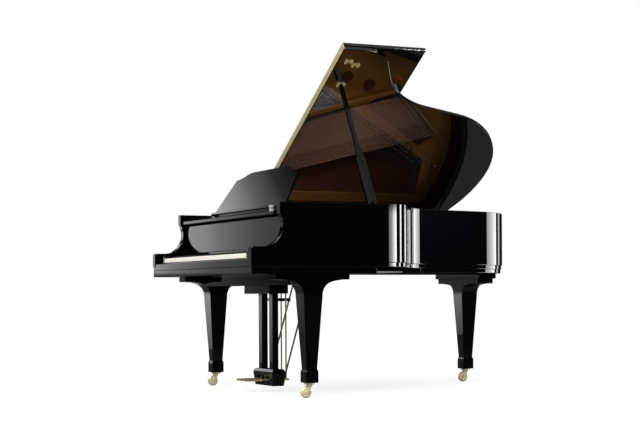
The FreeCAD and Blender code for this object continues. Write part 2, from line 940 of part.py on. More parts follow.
def bridge(notes, top):
    """Curved bar under the strings' far ends, a little longer than its row of strings."""
    half = bridge_width / 2.0
    rows = []
    for offset in (-half, half):
        row = [beside_bridge(n, offset) for n in notes]
        row.insert(0, beside_bridge(notes[0], offset, -bridge_end))
        row.append(beside_bridge(notes[-1], offset, bridge_end))
        rows.append(row)
    front, back = rows
    back.reverse()
    edges = bends(front) + [line(front[-1], back[0])] + bends(back) + [line(back[-1], front[0])]
    return moved(profile(edges, V(0, 0, top - soundboard_top)), V(0, 0, soundboard_top))


def long_bridge_notes():
    """Notes whose string ends the long bridge is drawn through."""
    return [bass_notes + 1, 33, 40, 48, 56, 64, 72, 80, note_count]


def make_bridges():
    long_bridge = bridge(long_bridge_notes(), string_level)
    bass_top = string_height(1, bass_longest - bridge_width) - running_gap
    bass_bridge = bridge([1, 7, 13, 20, bass_notes], bass_top)
    return Part.makeCompound([long_bridge, bass_bridge])


# Soundboard and plate

def make_soundboard():
    half = inner_half - glue_line
    board = outline_solid(rim_wall + glue_line, treble_tongue, soundboard_seat, soundboard_top)
    front = belly_edge(half)
    waste = [V(-half, treble_tongue, soundboard_seat)] + [V(x, y, soundboard_seat) for x, y in front[:3]]
    return board.cut(polygon(waste, V(0, 0, soundboard_thickness)))


def make_soundboard_ribs():
    back = belly_front + belly_depth + glue_line
    room = outline_solid(rim_wall + inner_rim_wall + 2.0 * glue_line, back, rim_bottom, soundboard_seat)
    bottom = soundboard_seat - rib_height
    ribs = []
    for k in range(rib_count):
        rib = box(-case_length, case_length, -rib_width / 2.0, rib_width / 2.0, bottom, soundboard_seat)
        rib = turned(rib, rib_heading, Z_AXIS, V(0, 0, 0))
        rib = moved(rib, V(0, back + (k + 0.6) * rib_pitch, 0)).common(room)
        ribs.extend(rib.Solids)
    return Part.makeCompound(ribs)


def window_offset():
    """How far behind a bridge's middle line the plate begins again."""
    return bridge_width / 2.0 + plate_bridge_gap


def web_back(x):
    share = (x - first_string_x) / (string_x(note_count) - first_string_x)
    lip = agraffe_depth / 2.0 + plate_web_lip
    return agraffe_bass_end + (agraffe_treble_end - agraffe_bass_end) * share + lip


def string_window():
    """Opening over the soundboard and the strike gap, ended by the long bridge's hitch web."""
    clear = bridge_end + plate_bridge_gap
    curve = [beside_bridge(n, window_offset()) for n in reversed(long_bridge_notes())]
    tenor_end = beside_bridge(bass_notes + 1, window_offset(), -clear)
    right_x = inner_half - treble_flange
    left_x = spine_flange - inner_half
    right = V(right_x, web_back(right_x), 0)
    left = V(left_x, web_back(left_x), 0)
    right_back = V(right_x, curve[0].y, 0)
    left_back = V(left_x, tenor_end.y, 0)
    edges = [
        line(right, right_back),
        line(right_back, curve[0]),
        *bends(curve),
        line(curve[-1], tenor_end),
        line(tenor_end, left_back),
        line(left_back, left),
        line(left, right),
    ]
    return profile(edges, V(0, 0, plate_thickness))


def bass_window():
    """Opening round the bass bridge, behind the hitch web."""
    clear = bridge_end + plate_bridge_gap
    near = [beside_bridge(n, window_offset() + hitch_web_width) for n in (28, 33, 39)]
    far = [beside_bridge(26, window_offset(), clear), beside_bridge(1, window_offset(), -clear)]
    corner = beside_bridge(1, -window_offset(), -clear)
    edges = [
        *bends(near),
        line(near[-1], far[0]),
        line(far[0], far[1]),
        line(far[1], corner),
        line(corner, near[0]),
    ]
    return profile(edges, V(0, 0, plate_thickness))


def strut_place(first_note):
    return (string_point(first_note - 1, 0.0) + string_point(first_note, 0.0)) * 0.5


def arched_bar(place, angle, length):
    """Bar of the plate that stands on the web at place and arches over strings and bridge."""
    web = plate_web_lip
    foot = strut_foot
    mid = plate_top - plate_thickness / 2.0
    pairs = [
        (web - 2.0 * foot, mid),
        (web, mid),
        (web + capo_depth, strut_underside),
        (length, strut_underside),
        (length + agraffe_depth, mid),
        (length + foot, mid),
        (length + foot, plate_top),
        (length, strut_top),
        (web - foot, strut_top),
        (web - 2.0 * foot, plate_top),
    ]
    bar = side_polygon(pairs, -strut_width / 2.0, strut_width / 2.0)
    bar = turned(bar, -angle, Z_AXIS, V(0, 0, 0))
    return moved(bar, place)


def plate_strut(first_note):
    """Bar in a gap of the scale, arched over the long bridge."""
    angle = (string_heading(first_note - 1) + string_heading(first_note)) / 2.0
    slant = bridge_normal(first_note).getAngle(heading(-angle))
    length = past_bridge(first_note, window_offset()) + strut_width * math.tan(slant)
    return arched_bar(strut_place(first_note), angle, length)


def break_strut():
    """Bar between the wound and the plain strings, arched over the plain ones to the tail web."""
    middle = damper_front + damper_depth / 2.0
    pair = [string_point(n, middle - agraffe_y(n)) for n in (bass_notes, bass_notes + 1)]
    near = V((pair[0].x + pair[1].x) / 2.0, middle, 0)
    far = beside_bridge(bass_notes, 0.0, bridge_end + plate_bridge_gap + strut_width)
    span = far - near
    angle = math.degrees(math.atan2(span.x, span.y))
    front = web_back(near.x) - plate_web_lip
    place = near - span * ((middle - front) / span.y)
    return arched_bar(place, angle, (far - place).Length + window_offset())


def capo_bars():
    """Pressure bars over the strings of the two upper sections, carried by the struts and a post."""
    low = string_level + 2.0 * plain_radius + running_gap
    right = inner_half - treble_flange / 2.0
    ends = [strut_place(first) for first in section_first_notes[2:]]
    ends.append(V(right, agraffe_treble_end, 0))
    depth = V(0, capo_depth / 2.0, 0)
    bars = []
    for a, b in zip(ends, ends[1:]):
        corners = [a - depth, b - depth, b + depth, a + depth]
        bars.append(moved(polygon(corners, V(0, 0, capo_top - low)), V(0, 0, low)))
    y = agraffe_treble_end
    post = box(right - strut_width / 2.0, right, y - strut_foot, y + capo_depth / 2.0,
               plate_top - plate_thickness / 2.0, capo_top)
    return bars + [post]


def hitch_pad():
    """Raised seat of the bass hitch pins."""
    near = window_offset() + plate_bridge_gap / 2.0
    far = near + strut_foot
    sides = ((1, near, -bridge_end), (1, far, -bridge_end), (26, far, bridge_end), (26, near, bridge_end))
    corners = [beside_bridge(note, offset, along) for note, offset, along in sides]
    pad = polygon(corners, V(0, 0, hitch_pad_height + plate_thickness / 2.0))
    return moved(pad, V(0, 0, plate_top - plate_thickness / 2.0))


def make_iron_plate():
    inset = rim_wall + plate_rim_gap
    plate = outline_solid(inset, plate_front, soundboard_top, plate_top)
    lift = V(0, 0, soundboard_top)
    cuts = [moved(string_window(), lift), moved(bass_window(), lift)]
    for share in plate_hole_ratios:
        angle = shoulder_turn + (waist_heading - shoulder_turn) * share
        centre = waist_centre + inward(angle) * (waist_radius + inset + plate_hole_inset)
        cuts.append(Part.makeCylinder(plate_hole_diameter / 2.0, plate_thickness, centre + lift))
    plate = plate.cut(Part.makeCompound(cuts))
    bars = [break_strut()] + [plate_strut(first) for first in section_first_notes[2:]]
    return fused([plate, hitch_pad()] + bars + capo_bars())


# Keyboard and action

def is_natural(note):
    """Notes count from an A; the steps here count semitones above that A."""
    return (note - 1) % 12 in (0, 2, 3, 5, 7, 8, 10)


def naturals_below(note):
    return sum(1 for n in range(1, note) if is_natural(n))


def key_slot(note):
    """Left and right sides of a key's stick: each group of naturals shares its width evenly."""
    semitone = (note - 1) % 12
    group_start, naturals, sticks = (3, 3, 5) if 3 <= semitone < 8 else (8, 4, 7)
    step = natural_pitch * naturals / sticks
    place = (semitone - group_start) % 12
    first_note = note - place
    if first_note >= 1:
        left = naturals_below(first_note) * natural_pitch
    else:
        left = (naturals_below(first_note + 12) - 7) * natural_pitch
    return left + place * step, left + (place + 1) * step


def keyboard_half():
    return natural_pitch * natural_count / 2.0


def make_natural_key(note):
    shift = -keyboard_half()
    gap = key_gap / 2.0
    x0 = naturals_below(note) * natural_pitch + gap + shift
    x1 = x0 + natural_pitch - key_gap
    slot = key_slot(note)
    s0 = max(slot[0] + gap + shift, x0)
    s1 = min(slot[1] - gap + shift, x1)
    if note == note_count:
        s1 = x1
    head_back = key_front + natural_head
    corners = [(x0, key_front), (x1, key_front), (x1, head_back), (s1, head_back)]
    corners += [(s1, key_rear), (s0, key_rear), (s0, head_back), (x0, head_back)]
    points = []
    for x, y in corners:
        point = V(x, y, key_bottom)
        if not points or point.distanceToPoint(points[-1]) > 0.001:
            points.append(point)
    if points[0].distanceToPoint(points[-1]) < 0.001:
        points.pop()
    return polygon(points, V(0, 0, key_height))


def make_sharp_key(note):
    slot = key_slot(note)
    centre = (slot[0] + slot[1]) / 2.0 - keyboard_half()
    front = key_front + natural_head + key_gap
    back = front + sharp_length
    top = key_top + sharp_rise
    pairs = [(front, key_bottom), (key_rear, key_bottom), (key_rear, key_top), (back, key_top)]
    pairs += [(back, top), (front + sharp_slope, top), (front, key_top)]
    return side_polygon(pairs, centre - sharp_width / 2.0, centre + sharp_width / 2.0)


def make_hammer(note):
    """Shank and head; the crown's height lets it just reach the strings at the end of the blow."""
    blow = math.radians(hammer_blow)
    lift = string_level - strike_gap - hammer_pivot_z
    crown = (lift - hammer_reach * math.sin(blow)) / math.cos(blow)
    x = string_point(note, hammer_pivot_y + hammer_reach - agraffe_y(note)).x
    half = shank_thickness / 2.0
    front = hammer_reach - head_depth / 2.0
    back = hammer_reach + head_depth / 2.0
    shoulder = crown - head_depth / 2.0
    pairs = [(-shank_tail, -half), (back, -half), (back, shoulder), (hammer_reach, crown)]
    pairs += [(front, shoulder), (front, half), (-shank_tail, half)]
    pairs = [(hammer_pivot_y + y, hammer_pivot_z + z) for y, z in pairs]
    return side_polygon(pairs, x - hammer_width / 2.0, x + hammer_width / 2.0)


def make_key_frame():
    half = keyboard_half()
    bottom = keybed_top + running_gap
    front_top = key_rail_top - frame_bar_height
    front_back = front_rail_front + front_rail_width
    back_end = back_rail_front + back_rail_width
    rail = balance_rail_width / 2.0
    ridge = balance_ridge / 2.0
    low = bottom + frame_bar_height
    shoulder = key_rail_top - balance_ridge
    pieces = [
        box(-half, half, front_rail_front, front_back, bottom, front_top),
        box(-half, half, balance_line - rail, balance_line + rail, bottom, shoulder),
        box(-half, half, balance_line - ridge, balance_line + ridge, low, key_rail_top),
        box(-key_frame_reach, key_frame_reach, back_rail_front, back_end, bottom, key_rail_top),
    ]
    for x in (-half, -frame_bar_width / 2.0, half - frame_bar_width):
        pieces.append(box(x, x + frame_bar_width, front_rail_front, back_end, bottom, low))
    return fused(pieces)


def make_action_rail():
    """Hammer rail carried by a bracket at each end of the key frame."""
    back = hammer_pivot_y - shank_tail - hammer_rail_gap
    front = back - hammer_rail_depth
    top = hammer_pivot_z + hammer_rail_height / 2.0
    bottom = top - hammer_rail_height
    half = bracket_x + bracket_width / 2.0
    foot_back = back_rail_front + back_rail_width
    pairs = [(back_rail_front, key_rail_top), (foot_back, key_rail_top)]
    pairs += [(foot_back, key_rail_top + frame_bar_height), (back, top), (front, top), (front, bottom)]
    bracket = side_polygon(pairs, half - bracket_width, half)
    rail = box(-half, half, front, back, bottom, top)
    return fused([rail, bracket, mirrored(bracket)])


def make_damper(note):
    """Head over the string and the wire that comes up beside it from the lifting tray."""
    middle = damper_front + damper_depth / 2.0
    x = string_point(note, middle - agraffe_y(note)).x
    distance = damper_front + damper_depth - agraffe_y(note)
    thickness = 2.0 * string_radius(note)
    bottom = string_height(note, distance) + thickness + damper_rest_gap
    half = damper_width / 2.0
    top = bottom + damper_height
    crest = damper_depth / 4.0
    back = damper_front + damper_depth
    pairs = [(damper_front, bottom), (back, bottom), (back - crest, top), (damper_front + crest, top)]
    head = side_polygon(pairs, x - half, x + half)
    wire_back = damper_wire_y + damper_wire
    side = -damper_wire_side if is_bass(note) else damper_wire_side
    wire_x = string_point(note, damper_wire_y - agraffe_y(note)).x + side - damper_wire / 2.0
    wire = box(wire_x, wire_x + damper_wire, damper_wire_y, wire_back, damper_tray_top, bottom)
    return [head, wire]


def make_dampers():
    pieces = [piece for note in range(1, damper_last_note + 1) for piece in make_damper(note)]
    left = string_x(1) - damper_depth
    right = string_x(damper_last_note) + damper_depth
    back = damper_wire_y + damper_wire
    bottom = damper_tray_top - damper_tray_height
    pieces.append(box(left, right, back - damper_tray_depth, back, bottom, damper_tray_top))
    return Part.makeCompound(pieces)


def make_damper_guide_rail():
    half = inner_half - glue_line
    top = guide_rail_bottom + guide_rail_height
    front = belly_front - guide_rail_depth
    return box(-half, treble_tongue_start, front, belly_front, guide_rail_bottom, top)


# Fallboard and music desk

def make_fallboard():
    """Upright panel rolled back at its foot, with an end plate and a trunnion at each end."""
    half = inner_half - fallboard_end_gap
    outer = fallboard_roll_radius
    inner = outer - fallboard_thickness
    cy = fallboard_face + outer
    cz = fallboard_bottom + outer
    s = math.sqrt(0.5)
    top_front = fallboard_face + fallboard_lean
    top_back = top_front + fallboard_thickness
    crest = fallboard_thickness / 2.0
    x = -half

    def at(y, z):
        return V(x, y, z)

    edges = [
        line(at(top_front, fallboard_top - crest), at(fallboard_face, cz)),
        arc(at(fallboard_face, cz), at(cy - outer * s, cz - outer * s), at(cy, fallboard_bottom)),
        line(at(cy, fallboard_bottom), at(cy, cz - inner)),
        arc(at(cy, cz - inner), at(cy - inner * s, cz - inner * s), at(cy - inner, cz)),
        line(at(cy - inner, cz), at(top_back, fallboard_top - crest)),
        arc(at(top_back, fallboard_top - crest), at(top_front + crest, fallboard_top),
            at(top_front, fallboard_top - crest)),
    ]
    panel = profile(edges, V(2.0 * half, 0, 0))
    ear_top = cz - inner + fallboard_thickness
    ear = fallboard_ear_radius
    py = fallboard_pivot_y
    pz = fallboard_pivot_z
    pairs = [(py - ear, pz), (py - ear * s, pz - ear * s), (py, pz - ear), (py + ear, pz - ear * s)]
    pairs += [(cy, cz - inner), (cy - inner * s, ear_top), (py - ear * s, pz + ear * s)]
    plate = side_polygon(pairs, half, half + fallboard_plate)
    pin_end = inner_half - fallboard_pin_gap
    pin = rod(fallboard_pin_diameter / 2.0, V(half, py, pz), V(pin_end, py, pz))
    ends = [plate, pin, mirrored(plate), mirrored(pin)]
    return fused([panel] + ends)


def make_music_rails():
    outer = inner_half - glue_line
    inner = shelf_width / 2.0 - shelf_rail_overlap
    top = shelf_bottom - running_gap
    back = shelf_rail_front + shelf_rail_length
    rail = box(inner, outer, shelf_rail_front, back, top - shelf_rail_height, top)
    return Part.makeCompound([rail, mirrored(rail)])


def make_music_shelf():
    half = shelf_width / 2.0
    shelf = box(-half, half, shelf_front, shelf_front + shelf_depth, shelf_bottom, shelf_top)
    corners = [e for e in shelf.Edges if e.BoundBox.ZLength > 1.0 and e.BoundBox.YMax < shelf_front + 1.0]
    shelf = shelf.makeFillet(shelf_corner, corners)
    lug_inner = desk_half_foot + desk_lug_gap
    depth = desk_lug_half_depth
    crown = depth / 2.0
    pairs = [(desk_axis_y - depth, shelf_top), (desk_axis_y + depth, shelf_top)]
    pairs += [(desk_axis_y + crown, desk_axis_z + depth), (desk_axis_y - crown, desk_axis_z + depth)]
    lug = side_polygon(pairs, lug_inner, lug_inner + desk_lug_width)
    bore = desk_pin_diameter / 2.0 + bore_gap
    start = V(lug_inner - desk_lug_gap, desk_axis_y, desk_axis_z)
    lug = lug.cut(rod(bore, start, start + V(2.0 * desk_lug_width, 0, 0)))
    return fused([shelf, lug, mirrored(lug)])


def make_music_desk():
    """Panel with a low crown, drawn flat behind its hinge line and then raised."""
    back = -desk_thickness / 2.0
    foot = desk_half_foot
    side = desk_half_shoulder
    crown = desk_half_crown
    low = -desk_heel

    def at(x, run):
        return V(x, run, back)

    edges = [
        line(at(-foot, low), at(foot, low)),
        line(at(foot, low), at(side, desk_shoulder_height)),
        *ogee(at(side, desk_shoulder_height), at(crown, desk_crown_height), -X_AXIS),
        line(at(crown, desk_crown_height), at(-crown, desk_crown_height)),
        *ogee(at(-crown, desk_crown_height), at(-side, desk_shoulder_height), -X_AXIS),
        line(at(-side, desk_shoulder_height), at(-foot, low)),
    ]
    panel = profile(edges, V(0, 0, desk_thickness))
    front = desk_thickness / 2.0
    lip_half = foot - desk_lip_depth
    lip = box(-lip_half, lip_half, 0.0, desk_lip_height, 0.0, front + desk_lip_depth)
    reach = foot + desk_lug_gap + desk_lug_width
    inside = foot - desk_lip_depth
    pins = [rod(desk_pin_diameter / 2.0, V(s * inside, 0, 0), V(s * reach, 0, 0)) for s in (-1.0, 1.0)]
    desk = fused([panel, lip] + pins)
    desk = turned(desk, desk_elevation, X_AXIS, V(0, 0, 0))
    return moved(desk, V(0, desk_axis_y, desk_axis_z))


def make_desk_props():
    rise = math.radians(desk_elevation)
    along = V(0, math.cos(rise), math.sin(rise))
    behind = V(0, math.sin(rise), -math.cos(rise))
    pivot = V(0, desk_axis_y, desk_axis_z) + along * desk_prop_station + behind * desk_prop_offset
    fall = math.radians(desk_prop_angle)
    half = desk_prop_thickness / 2.0
    drop = pivot.z - shelf_top - key_rail_gap - half * math.cos(fall)
    length = drop / math.sin(fall)
    width = desk_prop_width / 2.0
    bar = box(-width, width, 0.0, length, -half, half)
    bar = turned(bar, -desk_prop_angle, X_AXIS, V(0, 0, 0))
    return Part.makeCompound([moved(bar, pivot + V(s * desk_prop_x, 0, 0)) for s in (-1.0, 1.0)])


# Lid: everything here is drawn closed; opened() turns it about the spine hinges

def opened(shape):
    return turned(shape, -lid_open_angle, Y_AXIS, V(lid_axis_x, 0, lid_axis_z))


def folded(shape):
    """Flap turned back on top of the lid."""
    return turned(shape, 180.0, X_AXIS, V(0, flap_axis_y, flap_axis_z))


def lid_blank():
    blank = outline_solid(-lid_overhang, flap_front, lid_under, lid_top)
    trim = box(-half_width, case_width, -case_length, 2.0 * case_length, lid_under, lid_top)
    return blank.common(trim)


def make_lid():
    keep = box(-case_width, case_width, lid_front, 2.0 * case_length, lid_under, lid_top)
    return opened(lid_blank().common(keep))


def make_lid_flap():
    back = flap_axis_y - flap_hinge_lift
    keep = box(-case_width, case_width, -case_length, back, lid_under, lid_top)
    return opened(folded(lid_blank().common(keep)))


def knuckle_spans(length, knuckles, gap):
    step = length / knuckles
    return [(k * step + gap / 2.0, (k + 1) * step - gap / 2.0) for k in range(knuckles)]


def make_lid_hinges_case():
    """Case leaves with their outer knuckles and the pin they carry."""
    hinges = []
    for station in lid_hinge_stations:
        start = station - lid_hinge_length / 2.0
        spans = knuckle_spans(lid_hinge_length, 3, 2.0 * running_gap)
        leaf_top = rim_top + lid_leaf
        inner = lid_leaf_reach - half_width
        pieces = [box(-half_width, inner, start, start + lid_hinge_length, rim_top, leaf_top)]
        for a, b in (spans[0], spans[2]):
            pieces.append(rod(lid_hinge_radius, V(lid_axis_x, start + a, lid_axis_z),
                              V(lid_axis_x, start + b, lid_axis_z)))
            pieces.append(box(lid_axis_x, -half_width, start + a, start + b, rim_top, leaf_top))
        pieces.append(rod(lid_pin_radius, V(lid_axis_x, start + spans[0][0], lid_axis_z),
                          V(lid_axis_x, start + spans[2][1], lid_axis_z)))
        hinges.append(fused(pieces))
    return Part.makeCompound(hinges)


def make_lid_hinges():
    """On the lid: the middle knuckles with their straps, and the flap hinge's lid leaf."""
    pieces = []
    for station in lid_hinge_stations:
        start = station - lid_hinge_length / 2.0
        a, b = knuckle_spans(lid_hinge_length, 3, 2.0 * running_gap)[1]
        low = V(lid_axis_x, start + a, lid_axis_z)
        high = V(lid_axis_x, start + b, lid_axis_z)
        knuckle = rod(lid_hinge_radius, low, high)
        strap = box(-half_width - lid_leaf, -half_width, start + a, start + b, lid_axis_z, lid_top)
        hinge = knuckle.fuse(strap).cut(rod(lid_pin_radius + bore_gap, low, high))
        pieces.append(opened(hinge.removeSplitter()))
    pieces.append(opened(flap_leaf_solid(0)))
    return Part.makeCompound(pieces)


def flap_leaf_solid(parity):
    """One leaf of the long hinge with every other knuckle, drawn on the lid's side."""
    x0 = -half_width
    length = case_width + lid_overhang
    low = lid_top - flap_leaf_height
    high = lid_top - flap_knuckle_gap
    leaf = box(x0, x0 + length, lid_front - flap_leaf, lid_front, low, high)
    pieces = [leaf]
    for a, b in knuckle_spans(length, flap_knuckle_count, flap_knuckle_gap)[parity::2]:
        start = V(x0 + a, flap_axis_y, flap_axis_z)
        barrel = rod(flap_hinge_radius, start, start + V(b - a, 0, 0))
        web = box(x0 + a, x0 + b, lid_front - flap_leaf, lid_front, high, flap_axis_z)
        pieces += [barrel, web]
    return fused(pieces)


def make_flap_hinge():
    """The flap's leaf: the lid's leaf mirrored across the fold, seen folded back."""
    leaf = flap_leaf_solid(1).mirror(V(0, flap_axis_y, 0), Y_AXIS)
    return opened(folded(leaf))


# Lid prop

def lid_point(along, y, below):
    """Point under the opened lid, measured from the hinge line."""
    angle = math.radians(lid_open_angle)
    drop = lid_axis_z - lid_under + below
    x = lid_axis_x + along * math.cos(angle) + drop * math.sin(angle)
    return V(x, y, lid_axis_z + along * math.sin(angle) - drop * math.cos(angle))


prop_pivot = V(prop_pivot_x, prop_y, prop_pivot_z)
prop_tip = lid_point(prop_contact, prop_y, socket_base + prop_tip_gap)
prop_length = (prop_tip - prop_pivot).Length
prop_lean = math.degrees(math.atan2(prop_pivot.x - prop_tip.x, prop_tip.z - prop_pivot.z))


def stood(shape):
    """Prop drawn upright at the origin, leaned to the lid at its pivot."""
    return moved(turned(shape, -prop_lean, Y_AXIS, V(0, 0, 0)), prop_pivot)


def round_foot(radius, width, length):
    """Bar standing on Z with a half-round foot about the origin."""
    bar = box(-radius, radius, -width / 2.0, width / 2.0, 0.0, length)
    return bar.fuse(rod(radius, V(0, -width / 2.0, 0), V(0, width / 2.0, 0))).removeSplitter()


def make_lid_prop():
    foot = prop_foot_width / 2.0
    stick = prop_stick_width / 2.0
    half = prop_thickness / 2.0
    x = -half
    neck = prop_foot_length + prop_neck_length

    def at(y, z):
        return V(x, y, z)

    edges = [
        line(at(-foot, -half), at(foot, -half)),
        line(at(foot, -half), at(foot, prop_foot_length)),
        line(at(foot, prop_foot_length), at(stick, neck)),
        line(at(stick, neck), at(stick, prop_length - stick)),
        arc(at(stick, prop_length - stick), at(0, prop_length), at(-stick, prop_length - stick)),
        line(at(-stick, prop_length - stick), at(-stick, neck)),
        line(at(-stick, neck), at(-foot, prop_foot_length)),
        line(at(-foot, prop_foot_length), at(-foot, -half)),
    ]
    prop = profile(edges, V(prop_thickness, 0, 0)).common(round_foot(half, prop_foot_width, prop_length))
    slot = prop_slot_width / 2.0
    bore = prop_pin_diameter / 2.0 + bore_gap
    prop = prop.cut(box(-prop_thickness, prop_thickness, -slot, slot, prop_slot_start, prop_slot_end))
    prop = prop.cut(rod(bore, V(0, -foot, 0), V(0, foot, 0)))
    reach = V(0, slot + stick, 0)
    middle = V(0, 0, short_prop_pin)
    pin = rod(short_pin_diameter / 2.0, middle - reach, middle + reach)
    return stood(fused([prop, pin]))


def make_short_prop():
    length = short_prop_end - short_prop_pin
    bar = round_foot(short_prop_thickness / 2.0, short_prop_width, length)
    bore = short_pin_diameter / 2.0 + bore_gap
    half = short_prop_width / 2.0
    bar = bar.cut(rod(bore, V(0, -half, 0), V(0, half, 0)))
    return stood(moved(bar, V(0, 0, short_prop_pin)))


def make_prop_bracket():
    outer = inner_half - glue_line
    half = prop_foot_width / 2.0 + prop_ear_gap
    tall = prop_bracket_height / 2.0
    back = outer - prop_bracket_plate
    front = prop_pivot_x - prop_thickness / 2.0
    pieces = [box(back, outer, prop_y - half - prop_ear, prop_y + half + prop_ear,
                  prop_pivot_z - tall, prop_pivot_z + tall)]
    for side in (-1.0, 1.0):
        y0 = prop_y + side * half
        y1 = y0 + side * prop_ear
        corners = [(front, -tall / 2.0), (back, -tall), (back, tall), (front, tall / 2.0)]
        ear = polygon([V(x, y0, prop_pivot_z + z) for x, z in corners], V(0, y1 - y0, 0))
        pieces.append(ear)
    reach = V(0, half + prop_ear, 0)
    pieces.append(rod(prop_pin_diameter / 2.0, prop_pivot - reach, prop_pivot + reach))
    return fused(pieces)


def make_prop_sockets():
    """Cup for the prop's tip and two spare cups, each a base with a lobe either side."""
    sockets = []
    for along, aside in ((0.0, 0.0),) + spare_socket_steps:
        x = lid_axis_x + prop_contact + along
        y = prop_y + aside
        half = socket_opening / 2.0
        reach = half + socket_lobe
        low = lid_under - socket_base
        base = box(x - socket_lobe, x + socket_lobe, y - half, y + half, low, lid_under)
        pieces = [base]
        for side in (-1.0, 1.0):
            a, b = sorted((y + side * half, y + side * reach))
            x0 = x - socket_length / 2.0
            pieces.append(box(x0, x0 + socket_length, a, b, low - socket_lobe_height, lid_under))
        sockets.append(opened(fused(pieces)))
    return Part.makeCompound(sockets)


# Legs, casters and lyre

def leg_side(half_top, half_cap, top, x0, x1):
    """Side view of a leg's head: cap, coves of two arcs either side, down to the shaft."""
    under = top - cap_thickness
    lip = half_cap - cap_lip
    width = lip - half_top
    height = under - leg_shaft_top
    small = height * cove_ratio
    large = (width ** 2 - 2.0 * width * small + height ** 2) / (2.0 * (height - small))
    turn = math.atan2(width - small, large - height)
    half_turn = (math.pi / 2.0 - turn) / 2.0
    small_y = half_top + small

    def at(y, z):
        return V(x0, y, z)

    def cove(sign):
        """From the shaft up and out to the cap's lip."""
        foot = at(sign * half_top, leg_shaft_top)
        bend_y = small_y - small * math.cos(half_turn)
        bend = at(sign * bend_y, leg_shaft_top + small * math.sin(half_turn))
        sweep, joint = [at(sign * (lip - large * math.sin(t)), under - large * (1.0 - math.cos(t)))
                        for t in (turn / 2.0, turn)]
        return [arc(foot, bend, joint), arc(joint, sweep, at(sign * lip, under))]

    edges = [
        line(at(-half_cap, top), at(half_cap, top)),
        line(at(half_cap, top), at(half_cap, under)),
        line(at(half_cap, under), at(lip, under)),
        *reversed(cove(1.0)),
        line(at(half_top, leg_shaft_top), at(-half_top, leg_shaft_top)),
        *cove(-1.0),
        line(at(-lip, under), at(-half_cap, under)),
        line(at(-half_cap, under), at(-half_cap, top)),
    ]
    return profile(edges, V(x1 - x0, 0, 0))


def square_ring(half, z):
    return [V(a * half, b * half, z) for a, b in ((-1, -1), (1, -1), (1, 1), (-1, 1))]


def make_leg(x, y, half_cap, top, quarter_turns):
    """Tapered square leg with an ankle block; the coved head runs along Y or, turned, along X."""
    half_top = leg_top_width / 2.0
    head = leg_side(half_top, half_cap, top, -half_top, half_top)
    ankle_top = leg_shaft_bottom - ankle_bevel
    rings = [(ankle_width, leg_bottom), (ankle_width, ankle_top), (leg_foot_width, leg_shaft_bottom)]
    rings.append((leg_top_width, leg_shaft_top))
    shaft = tapered([square_ring(width / 2.0, z) for width, z in rings])
    leg = fused([head, shaft])
    leg = turned(leg, 90.0 * quarter_turns, Z_AXIS, V(0, 0, 0))
    return moved(leg, V(x, y, 0))


def make_tail_leg_plates():
    """Board under the tail and the block that the tail leg screws to."""
    top = keybed_top
    plate = outline_solid(tail_plate_inset, shoulder_start, top - tail_plate_height, top)
    plate = plate.common(box(-case_width, case_width, tail_plate_front, 2.0 * case_length, 0.0, rim_top))
    half = tail_cap_half_length + tail_block_margin
    depth = leg_top_width / 2.0 + tail_block_margin / 4.0
    block_top = top - tail_plate_height
    block = box(tail_leg_x - half, tail_leg_x + half, tail_leg_y - depth, tail_leg_y + depth,
                block_top - tail_block_height, block_top)
    return Part.makeCompound([plate, block])


def across(corners, x):
    """Corners from the XY plane stood up in the plane at x, one of them lowest."""
    return [V(x, corner.y, -corner.x) for corner in corners]


def make_caster_fork(x, y):
    top = leg_bottom - caster_top_gap
    cheek_in = caster_wheel_width / 2.0 + caster_cheek_gap
    axle = caster_wheel_radius
    crown_low = top - caster_crown
    crown = polygon(ring(caster_side_count, caster_crown_radius), V(0, 0, caster_crown))
    pieces = [moved(crown, V(0, 0, crown_low))]
    wide = caster_hub_radius
    for side in (-1.0, 1.0):
        x0 = side * cheek_in
        pairs = [(-wide, crown_low), (wide, crown_low), (wide - caster_trail, axle)]
        pairs += [(-caster_trail, axle - wide), (-wide - caster_trail, axle)]
        pieces.append(side_polygon(pairs, x0, x0 + side * caster_cheek))
    reach = cheek_in + caster_cheek
    pin = polygon(across(ring(caster_side_count // 2, caster_axle_radius), -reach), V(2.0 * reach, 0, 0))
    pieces.append(moved(pin, V(0, -caster_trail, axle)))
    return moved(fused(pieces), V(x, y, 0))


def make_caster_wheel(x, y):
    """Wheel with bevelled shoulders; tread and bore are many-sided."""
    half = caster_wheel_width / 2.0
    radius = caster_wheel_radius
    tread = half / 2.0
    shoulder = radius - tread
    stations = ((-half, shoulder), (-tread, radius), (tread, radius), (half, shoulder))
    wheel = tapered([across(ring(caster_side_count, r), at) for at, r in stations])
    sides = caster_side_count // 2
    bore = (caster_axle_radius + running_gap) / math.cos(math.pi / sides)
    hole = polygon(across(ring(sides, bore), -half), V(caster_wheel_width, 0, 0))
    return moved(wheel.cut(hole), V(x, y - caster_trail, radius))


def make_lyre_frame():
    """Block under the keybed board and the two square posts that carry the pedal box."""
    block_bottom = lyre_board_bottom - lyre_block_height
    back = lyre_block_front + lyre_block_depth
    pieces = [box(-lyre_block_half, lyre_block_half, lyre_block_front, back,
                  block_bottom, lyre_board_bottom)]
    half = lyre_post_width / 2.0
    post_back = lyre_post_front + lyre_post_depth
    for x in (-lyre_post_x, lyre_post_x):
        pieces.append(box(x - half, x + half, lyre_post_front, post_back, pedal_box_top, block_bottom))
    return Part.makeCompound(pieces)


